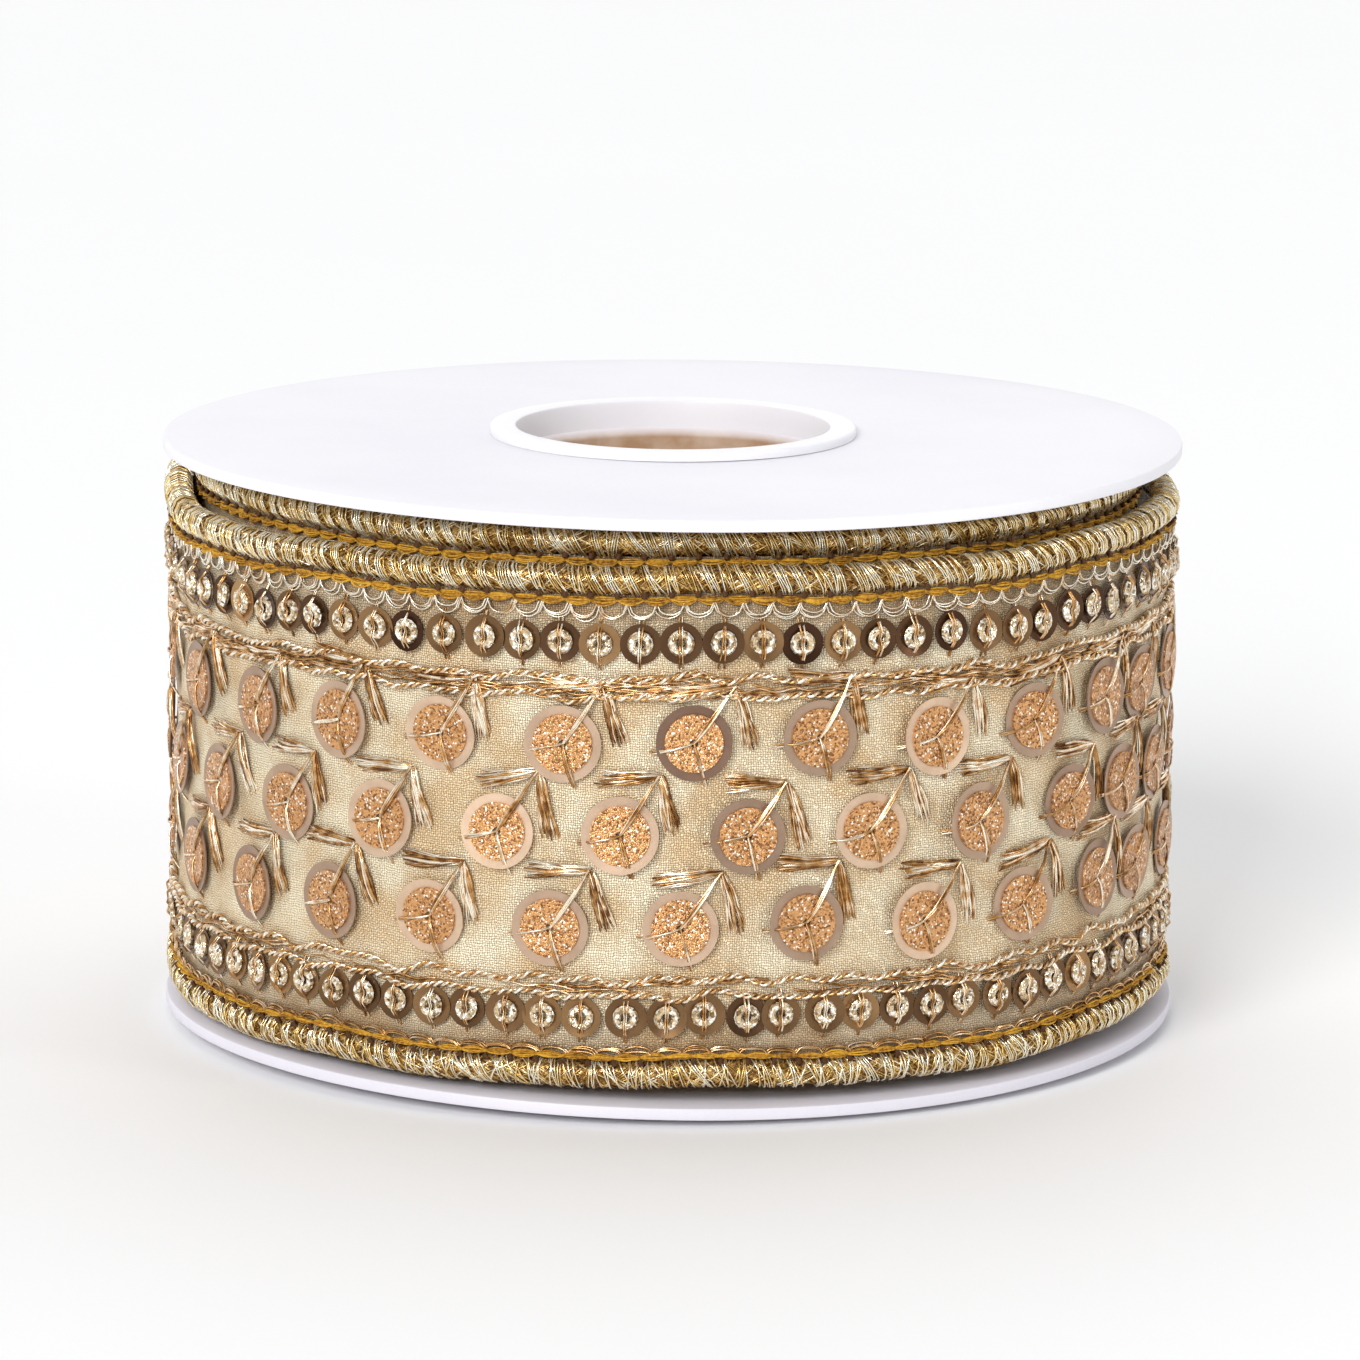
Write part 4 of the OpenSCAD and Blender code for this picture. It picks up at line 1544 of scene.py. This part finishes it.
@dataclass
class Braid:
    """A couched braid: two wavy twisted cords with loose strands between them."""

    route: Route
    lines: tuple[float, float]
    side: int
    salt: int
    loose: int
    wave: float = 0.42

    def add(self, threads: Strands, stretch: Stretch) -> None:
        """Adds the braid's strands to a bundle.

        Args:
            threads: the bundle to add to.
            stretch: the stretch to make.
        """
        rng = stretch.random(self.salt)
        run = np.arange(stretch.start, stretch.stop, 0.15)
        for line in self.lines:
            path = line + ripple(rng, run, self.wave, 13.0, 5.0)
            height = 0.5 + ripple(rng, run, 0.08, 9.0, 4.0)
            twist = FULL_TURN * run / 1.6 + rng.uniform(0, FULL_TURN)
            for ply in (0, math.pi):
                v = path + 0.19 * np.sin(twist + ply)
                h = height + 0.19 * np.cos(twist + ply)
                threads.add(self.route.at(run, v, h), 0.18, 0.9 if ply else 0.5)
        self.add_loose(threads, stretch, rng)

    def add_loose(self, threads: Strands, stretch: Stretch, rng: np.random.Generator) -> None:
        """Adds the loose strands as overlapping lengths.

        Args:
            threads: the bundle to add to.
            stretch: the stretch to make.
            rng: the random generator.
        """
        lower, upper = sorted(self.lines)
        count = int((stretch.stop - stretch.start) * self.loose / 9.0)
        length = rng.uniform(6.0, 12.0, (count, 1))
        start = rng.uniform(stretch.start, stretch.stop - 8.0, (count, 1))
        t = np.linspace(0, 1, 14)
        s = np.clip(start + length * t, stretch.start, stretch.stop)
        base = rng.uniform(lower - 0.1, upper + 0.1, (count, 1))
        drift = rng.normal(0, 0.35, (count, 1)) * (t - 0.5)
        v = base + drift + 0.16 * np.sin(s * rng.uniform(0.8, 2.0, (count, 1)) + start)
        h = 0.28 + 0.22 * np.sin(s * 1.3 + start) ** 2 + rng.uniform(0, 0.2, (count, 1))
        threads.add(self.route.at(s, v, h), rng.uniform(0.08, 0.14, count), rng.uniform(0.15, 0.7, count))


@dataclass
class SequinRow:
    """A row of large sequins with glitter discs, tie-down legs and leaf stitches."""

    route: Route
    name: str
    centre_v: float
    phase: float
    # One digit for each sequin in turn, its painted reflection from dark 0 to light 9.
    tones: str
    pitch: float = 11.85
    sequin_r: float = 3.6
    glitter_r: float = 2.78
    hole_r: float = 0.4
    leg_r: float = 0.115
    knot: tuple[float, float] = (3.75, 5.45)

    def places(self, stretch: Stretch) -> tuple[np.ndarray, np.ndarray, np.ndarray]:
        """Returns where the sequins lie along and across, and their tones, which are painted reflection.

        Args:
            stretch: the stretch to make.

        Returns:
            The places along and across in millimetres, and the tones.
        """
        rng = stretch.random(90 + len(self.name))
        s = stretch.steps(self.pitch, self.phase)
        count = np.round((s - self.phase) / self.pitch).astype(int) + len(self.tones) // 2
        # Painted reflection: the tone string gives each large sequin a light or dark tone by how it faces the
        # light.
        tone = np.array([int(self.tones[k % len(self.tones)]) / 9 for k in count])
        closer = 0.012 * np.clip(s - 42.0, 0.0, 19.0) ** 2
        return s - closer + rng.normal(0, 0.22, len(s)), self.centre_v + rng.normal(0, 0.16, len(s)), tone

    def points(self, stretch: Stretch, h: float, salt: int) -> bpy.types.Mesh:
        """Returns a point mesh with each sequin's turn and tone.

        Args:
            stretch: the stretch to make.
            h: height over the cloth in millimetres.
            salt: picks the random numbers.

        Returns:
            The point mesh.
        """
        rng = stretch.random(salt + len(self.name))
        s, v, tone = self.places(stretch)
        n = len(s)
        tilt = np.stack([rng.normal(0, 0.045, n), rng.normal(0, 0.045, n), rng.uniform(0, FULL_TURN, n)], 1)
        mesh = mesh_from("row", self.route.at(s, v, h))
        store(mesh, "turn", self.route.turns(s, tilt), "FLOAT_VECTOR")
        store(mesh, "tone", tone)
        return mesh

    def make(self, stretch: Stretch, sequin_nodes: Sequence[str], glitter_nodes: Sequence[str]) -> None:
        """Makes the sequins and the glitter discs on them.

        Args:
            stretch: the stretch to make.
            sequin_nodes: the CAD nodes that the sequins stand for.
            glitter_nodes: the CAD nodes that the glitter discs stand for.
        """
        label = f"{stretch.prefix}_{self.name}"
        sequin = Ring(self.sequin_r, self.hole_r, 0.06, 0.06, segments=48, seed=7)
        made = sequin.scatter(label + "_row_sequins", self.points(stretch, 0.34, 100), ROSE)
        deliver(made, stretch.body, sequin_nodes)
        disc = Ring(self.glitter_r, self.hole_r, 0.16, 0.02, segments=32, seed=7)
        made = disc.scatter(label + "_glitter_discs", self.points(stretch, 0.52, 100), GLITTER)
        deliver(made, stretch.body, glitter_nodes)

    def add_stitches(self, threads: Strands, stretch: Stretch) -> None:
        """Adds each sequin's legs, its knot and its two leaves.

        Args:
            threads: the bundle to add to.
            stretch: the stretch to make.
        """
        rng = stretch.random(110 + len(self.name))
        for s0, v0, _ in zip(*self.places(stretch)):
            knot = np.array(self.knot) + rng.normal(0, 0.25, 2)
            self.legs(threads, s0, v0, knot, rng)
            self.leaf(threads, s0, v0, knot, np.array([-6.2, -0.35]) + rng.normal(0, 0.3, 2), rng)
            self.leaf(threads, s0, v0, knot, np.array([1.25, -5.6]) + rng.normal(0, 0.3, 2), rng)

    def legs(
            self, threads: Strands, s0: float, v0: float, knot: np.ndarray, rng: np.random.Generator,
    ) -> None:
        """Adds four strands to the knot, two to the left edge and two down.

        Args:
            threads: the bundle to add to.
            s0: the sequin's place along the ribbon, in millimetres.
            v0: its place across the ribbon, in millimetres.
            knot: the knot's place from the sequin's middle, in millimetres.
            rng: the random generator.
        """
        over = np.array([0.45, 0.86, 0.95, 0.92, 0.85, 0.6, 0.62])
        t = np.linspace(0, 1, 7)
        ends = [
            (knot[0], knot[1], 0.22), (knot[0] - 0.1, knot[1], 0.07), (knot[0] - 0.2, knot[1] + 0.1, -0.1),
            (knot[0] - 0.3, knot[1], -0.26), (-4.1, -0.7, 0.1), (-4.0, -1.0, -0.05),
            (1.2, -4.2, 0.08), (1.0, -4.1, -0.08)]
        for x, y, side in ends:
            bow = side + rng.normal(0, 0.05)
            length = math.hypot(x, y)
            bend = np.sin(math.pi * t * 0.8 + 0.3)
            s = s0 + t * x - bow * y / length * bend
            v = v0 + t * y + bow * x / length * bend
            h = over.copy()
            if length < 5:
                h[-2:] = (0.5, 0.05)
            threads.add(self.route.at(s, v, h), self.leg_r, float(rng.choice([0.4, 0.65, 0.95])))

    def leaf(
            self, threads: Strands, s0: float, v0: float, knot: np.ndarray, reach: np.ndarray,
            rng: np.random.Generator,
    ) -> None:
        """Adds one leaf: a bundle that leaves the knot thin and ends wide.

        Args:
            threads: the bundle to add to.
            s0: the sequin's place along the ribbon, in millimetres.
            v0: its place across the ribbon, in millimetres.
            knot: the knot's place from the sequin's middle, in millimetres.
            reach: where the leaf ends, from the knot, in millimetres.
            rng: the random generator.
        """
        t = np.linspace(0, 1, 7)
        normal = np.array([-reach[1], reach[0]]) / np.hypot(*reach)
        for spread in np.linspace(-0.78, 0.78, 12):
            length = rng.uniform(0.86, 1.06)
            fan = spread * (0.18 + 0.82 * t**0.7) + 0.1 * np.sin(t * 7 + rng.uniform(0, 6))
            s = s0 + knot[0] + reach[0] * t * length + normal[0] * fan
            v = v0 + knot[1] + reach[1] * t * length + normal[1] * fan
            arch = 0.42 * np.sin(math.pi * np.clip(t * 0.85 + 0.12, 0, 1))
            h = 0.32 + arch - 0.35 * abs(spread) + rng.uniform(-0.05, 0.12)
            gauge = rng.uniform(0.12, 0.17)
            tone = float(rng.choice([0.2, 0.55, 0.95], p=[0.35, 0.3, 0.35]))
            threads.add(self.route.at(s, v, h), gauge, tone, taper=0.5)


@dataclass
class Ribbon:
    """The wound ribbon: the turns out of sight, the outermost full turn and the free end."""

    route: Route
    seam: float = 66.0
    turns: int = 9
    plain_cord_r: float = 1.3
    wound_reach_v: float = 22.0
    cloth_thickness: float = 0.3

    def make(self) -> None:
        """Makes every stretch of the ribbon."""
        r = self.route
        outer = Stretch("outer", r.back, self.seam, Body.CORE, 11)
        tail = Stretch("tail", self.seam, r.half + self.tail_length(), Body.FREE_END, 12)
        for stretch in (outer, tail):
            self.running_parts(stretch)
            self.borders(stretch)
            self.rows(stretch)
        self.winding()

    def tail_length(self) -> float:
        """Arc of the free end beyond the hinge.

        Returns:
            The length in millimetres.
        """
        r = self.route
        reach = high("tail_cloth", 1) / (r.outer_r + r.pitch / 2 + r.face)
        return math.asin(reach) * (r.outer_r + r.pitch / 2 + r.face)

    def running_parts(self, stretch: Stretch) -> None:
        """Makes the cloth, cords, lock stitches, scallops and braids.

        Args:
            stretch: the stretch to make.
        """
        r, p = self.route, stretch.prefix
        Cloth(r).make(stretch, [p + "_cloth"])
        for side in (1, -1):
            edge = edge_name(side)
            EdgeCord(r, side).make(stretch, [f"{p}_{edge}_cord"])
            LockStitch(r, side).make(stretch, [f"{p}_{edge}_stitch"])
        scallops = Strands()
        for side in (1, -1):
            Scallops(r).add(scallops, stretch, side)
        nodes = stretch.nodes(["upper_scallop_thread", "lower_scallop_thread"], "tail_scallop_threads")
        deliver(scallops.finish(p + "_scallops", ZARI, fuzz=0.1, seed=3), stretch.body, nodes)
        braids = (Braid(r, (14.25, 12.5), 1, 85, 9), Braid(r, (-14.25, -15.75), -1, 83, 3))
        for braid in braids:
            threads = Strands()
            braid.add(threads, stretch)
            edge = edge_name(braid.side)
            nodes = stretch.nodes([f"{edge}_couching_braid"], "tail_couching_braids", braid.side > 0)
            made = threads.finish(f"{p}_{edge}_braid", ZARI, sides=4, fuzz=0.12, seed=4)
            deliver(made, stretch.body, nodes)

    def borders(self, stretch: Stretch) -> None:
        """Makes both rows of small sequins, their beads and their ties.

        Args:
            stretch: the stretch to make.
        """
        ties = Strands()
        for side in (1, -1):
            row = BorderRow(self.route, side)
            edge = edge_name(side)
            sequins = stretch.nodes([f"{edge}_border_sequins"], "tail_border_sequins", side > 0)
            beads = stretch.nodes([f"{edge}_seed_beads"], "tail_seed_beads", side > 0)
            row.make(stretch, sequins, beads)
            row.add_ties(ties, stretch)
        nodes = stretch.nodes(["bead_threads"], "tail_bead_threads")
        made = ties.finish(stretch.prefix + "_bead_ties", PALE, seed=5)
        deliver(made, stretch.body, nodes)

    def rows(self, stretch: Stretch) -> None:
        """Makes the three rows of large sequins with their stitches.

        Args:
            stretch: the stretch to make.
        """
        rows = (
            SequinRow(self.route, "upper", 8.2, 2.1, "4346861484334"),
            SequinRow(self.route, "middle", -0.6, 7.3, "4458963853444"),
            SequinRow(self.route, "lower", -9.3, 1.0, "3334856485344"))
        for k, row in enumerate(rows):
            first = k == 0
            sequins = stretch.nodes([f"{row.name}_row_sequins"], "tail_row_sequins", first)
            glitter = stretch.nodes([f"{row.name}_glitter_discs"], "tail_glitter_discs", first)
            stitches = stretch.nodes([f"{row.name}_leaf_stitches"], "tail_leaf_stitches", first)
            row.make(stretch, sequins, glitter)
            threads = Strands()
            row.add_stitches(threads, stretch)
            made = threads.finish(f"{stretch.prefix}_{row.name}_leaves", PALE, fuzz=0.12, seed=6 + k)
            deliver(made, stretch.body, stitches)

    def winding(self) -> None:
        """Makes the turns under the outermost one."""
        layers = [self.route.under(k) for k in range(1, self.turns + 1)]
        self.wound_cloth(layers)
        second = layers[0]
        top = Stretch("winding", -second.half, second.half, Body.CORE, 13)
        EdgeCord(second, 1).make(top, ["winding_upper_cord"])
        LockStitch(second, 1).make(top, ["winding_upper_stitch"])
        for side, edge, nodes in ((1, "upper", ()), (-1, "lower", ("winding_lower_cord",))):
            cords, stitches = Strands(), Strands()
            for k, layer in enumerate(layers):
                start = -layer.half if k == self.turns - 1 else layer.back
                stop = -layer.half if k == 0 and side > 0 else layer.half
                run = np.arange(start, stop + 0.5, 1.5)
                cords.add(layer.at(run, side * layer.cord_v, -layer.face), self.plain_cord_r, 0.55)
                stitches.add(layer.at(run, side * 21.6, 0.3), 0.3, 0.5)
            made = cords.finish(f"winding_{edge}_cord_turns", CORD_WRAP, sides=8, seed=8)
            deliver(made, Body.CORE, nodes)
            made = stitches.finish(f"winding_{edge}_stitch_turns", OCHRE, sides=5, seed=9)
            deliver(made, Body.CORE, ["winding_lower_stitch"] if side < 0 else [])

    def wound_cloth(self, layers: Sequence[Route]) -> None:
        """Makes the cloth of the wound turns as one long spiral sheet, and gives the pad at its inner end its
        foam finish.

        Args:
            layers: the wound turns, outermost first.
        """
        rows = []
        for k, layer in enumerate(reversed(layers)):
            start = -layer.half if k == 0 else layer.back
            count = int((layer.half - start) / 2.5) + 1
            rows.append((layer, np.linspace(start, layer.half, count)[:-1]))
        across = np.linspace(-self.wound_reach_v, self.wound_reach_v, 13)
        front, back, flat, gone = [], [], [], 0.0
        for layer, run in rows:
            s, v = np.meshgrid(run, across, indexing="ij")
            puffed = 0.12 * np.sin(s / 2.3) * np.cos(v / 3.0)
            front.append(layer.at(s, v, puffed))
            back.append(layer.at(s, v, puffed - self.cloth_thickness))
            flat.append(np.stack([s - run[0] + gone, v], -1))
            gone += run[-1] - run[0]
        made = thin_sheet(
            "winding_cloth_turns", np.concatenate(front), np.concatenate(back), np.concatenate(flat))
        deliver(made, Body.CORE, ["winding_cloth"], TISSUE)
        pad = frame["nodes"]["start_pad"]
        pad.data.materials.clear()
        pad.data.materials.append(FOAM.material())


# ---------------------------------------------------------------------------- the studio


@dataclass
class Studio:
    """Camera, pale floor and soft lights."""

    distance: float = 0.7
    elevation: float = 11.0
    roll: float = 0.5
    lens: float = 187.0
    aim_right: float = 0.0009
    aim_up: float = 0.0035
    front_glow: float = 0.3
    back_glow: float = 1.42

    def make(self) -> None:
        """Makes the camera, the floor, the lights and the world."""
        self.camera()
        self.floor()
        self.sun((-0.45, -1.0, 0.6), 2.1)
        self.light("side_softbox", (0.85, -0.5, 0.35), (0.2, 0.5), 1.6)
        self.light("small_spark", (-0.12, -0.9, 0.3), (0.05, 0.05), 1.0)
        self.surround()
        bpy.context.scene.view_settings.view_transform = "Standard"

    def surround(self) -> None:
        """Makes a white surround behind the spool that dims towards the front."""
        world = bpy.data.worlds.new("studio")
        world.use_nodes = True
        graph = Graph(world.node_tree)
        way = graph.add("ShaderNodeSeparateXYZ", {0: graph.add("ShaderNodeTexCoord").outputs["Generated"]})
        back = world.node_tree.nodes["Background"]
        back.inputs["Color"].default_value = (0.985, 0.99, 1.0, 1.0)
        glow = graph.spread(way.outputs[1], -0.2, 0.7, self.front_glow, self.back_glow)
        graph.tree.links.new(glow, back.inputs["Strength"])
        bpy.context.scene.world = world

    def camera(self) -> None:
        """Makes the camera in front of the spool, a little above it."""
        low_corner, high_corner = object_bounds()
        centre = (Vector(low_corner) + Vector(high_corner)) / 2
        tilt = math.radians(self.elevation)
        back = Vector((0, -math.cos(tilt), math.sin(tilt)))
        up = Vector((0, math.sin(tilt), math.cos(tilt)))
        data = bpy.data.cameras.new("camera")
        data.lens, data.sensor_width = self.lens, 36.0
        made = bpy.data.objects.new("camera", data)
        made.location = centre + back * self.distance + Vector((self.aim_right, 0, 0)) + up * self.aim_up
        level = (-back).to_track_quat("-Z", "Y").to_matrix()
        made.rotation_euler = (level @ Matrix.Rotation(math.radians(self.roll), 3, "Z")).to_euler()
        bpy.context.scene.collection.objects.link(made)
        bpy.context.scene.camera = made

    def floor(self) -> None:
        """Makes the plain pale floor."""
        size = 4000.0
        corners = [(-size, -size, 0), (size, -size, 0), (size, size, 0), (-size, size, 0)]
        made = new_object("floor", mesh_from("floor", np.array(corners, float), faces=[(0, 1, 2, 3)]))
        finish = MottledFinish(
            "pale_floor", roughness=0.7, bump=0.0, first=(0.93, 0.93, 0.93),
            second=(0.92, 0.92, 0.92), scale=3.0)
        made.data.materials.append(finish.material())
        made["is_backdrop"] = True

    def sun(self, place: tuple[float, float, float], power: float) -> None:
        """Makes the broad even key light.

        Args:
            place: the direction that it shines from.
            power: its strength.
        """
        data = bpy.data.lights.new("key", "SUN")
        data.energy, data.angle = power, math.radians(25)
        made = bpy.data.objects.new("key", data)
        made.rotation_euler = (-Vector(place)).to_track_quat("-Z", "Y").to_euler()
        bpy.context.scene.collection.objects.link(made)

    def light(
            self, name: str, place: tuple[float, float, float], size: tuple[float, float], power: float,
    ) -> None:
        """Makes one area light that faces the spool.

        Args:
            name: the light's name.
            place: where it stands, in metres.
            size: its width and height in metres.
            power: its power in watts.
        """
        data = bpy.data.lights.new(name, "AREA")
        data.shape, data.energy = "RECTANGLE", power
        data.size, data.size_y = size
        made = bpy.data.objects.new(name, data)
        made.location = place
        made.rotation_euler = (Vector((0, 0, 0.03)) - Vector(place)).to_track_quat("-Z", "Y").to_euler()
        bpy.context.scene.collection.objects.link(made)


def main() -> None:
    """Makes the studio, the spool and the ribbon."""
    logging.basicConfig(level=logging.INFO, format="%(name)s: %(message)s")
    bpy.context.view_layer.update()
    Studio().make()
    Spool().make()
    Ribbon(Route.outermost()).make()


if __name__ == "__main__":
    main()
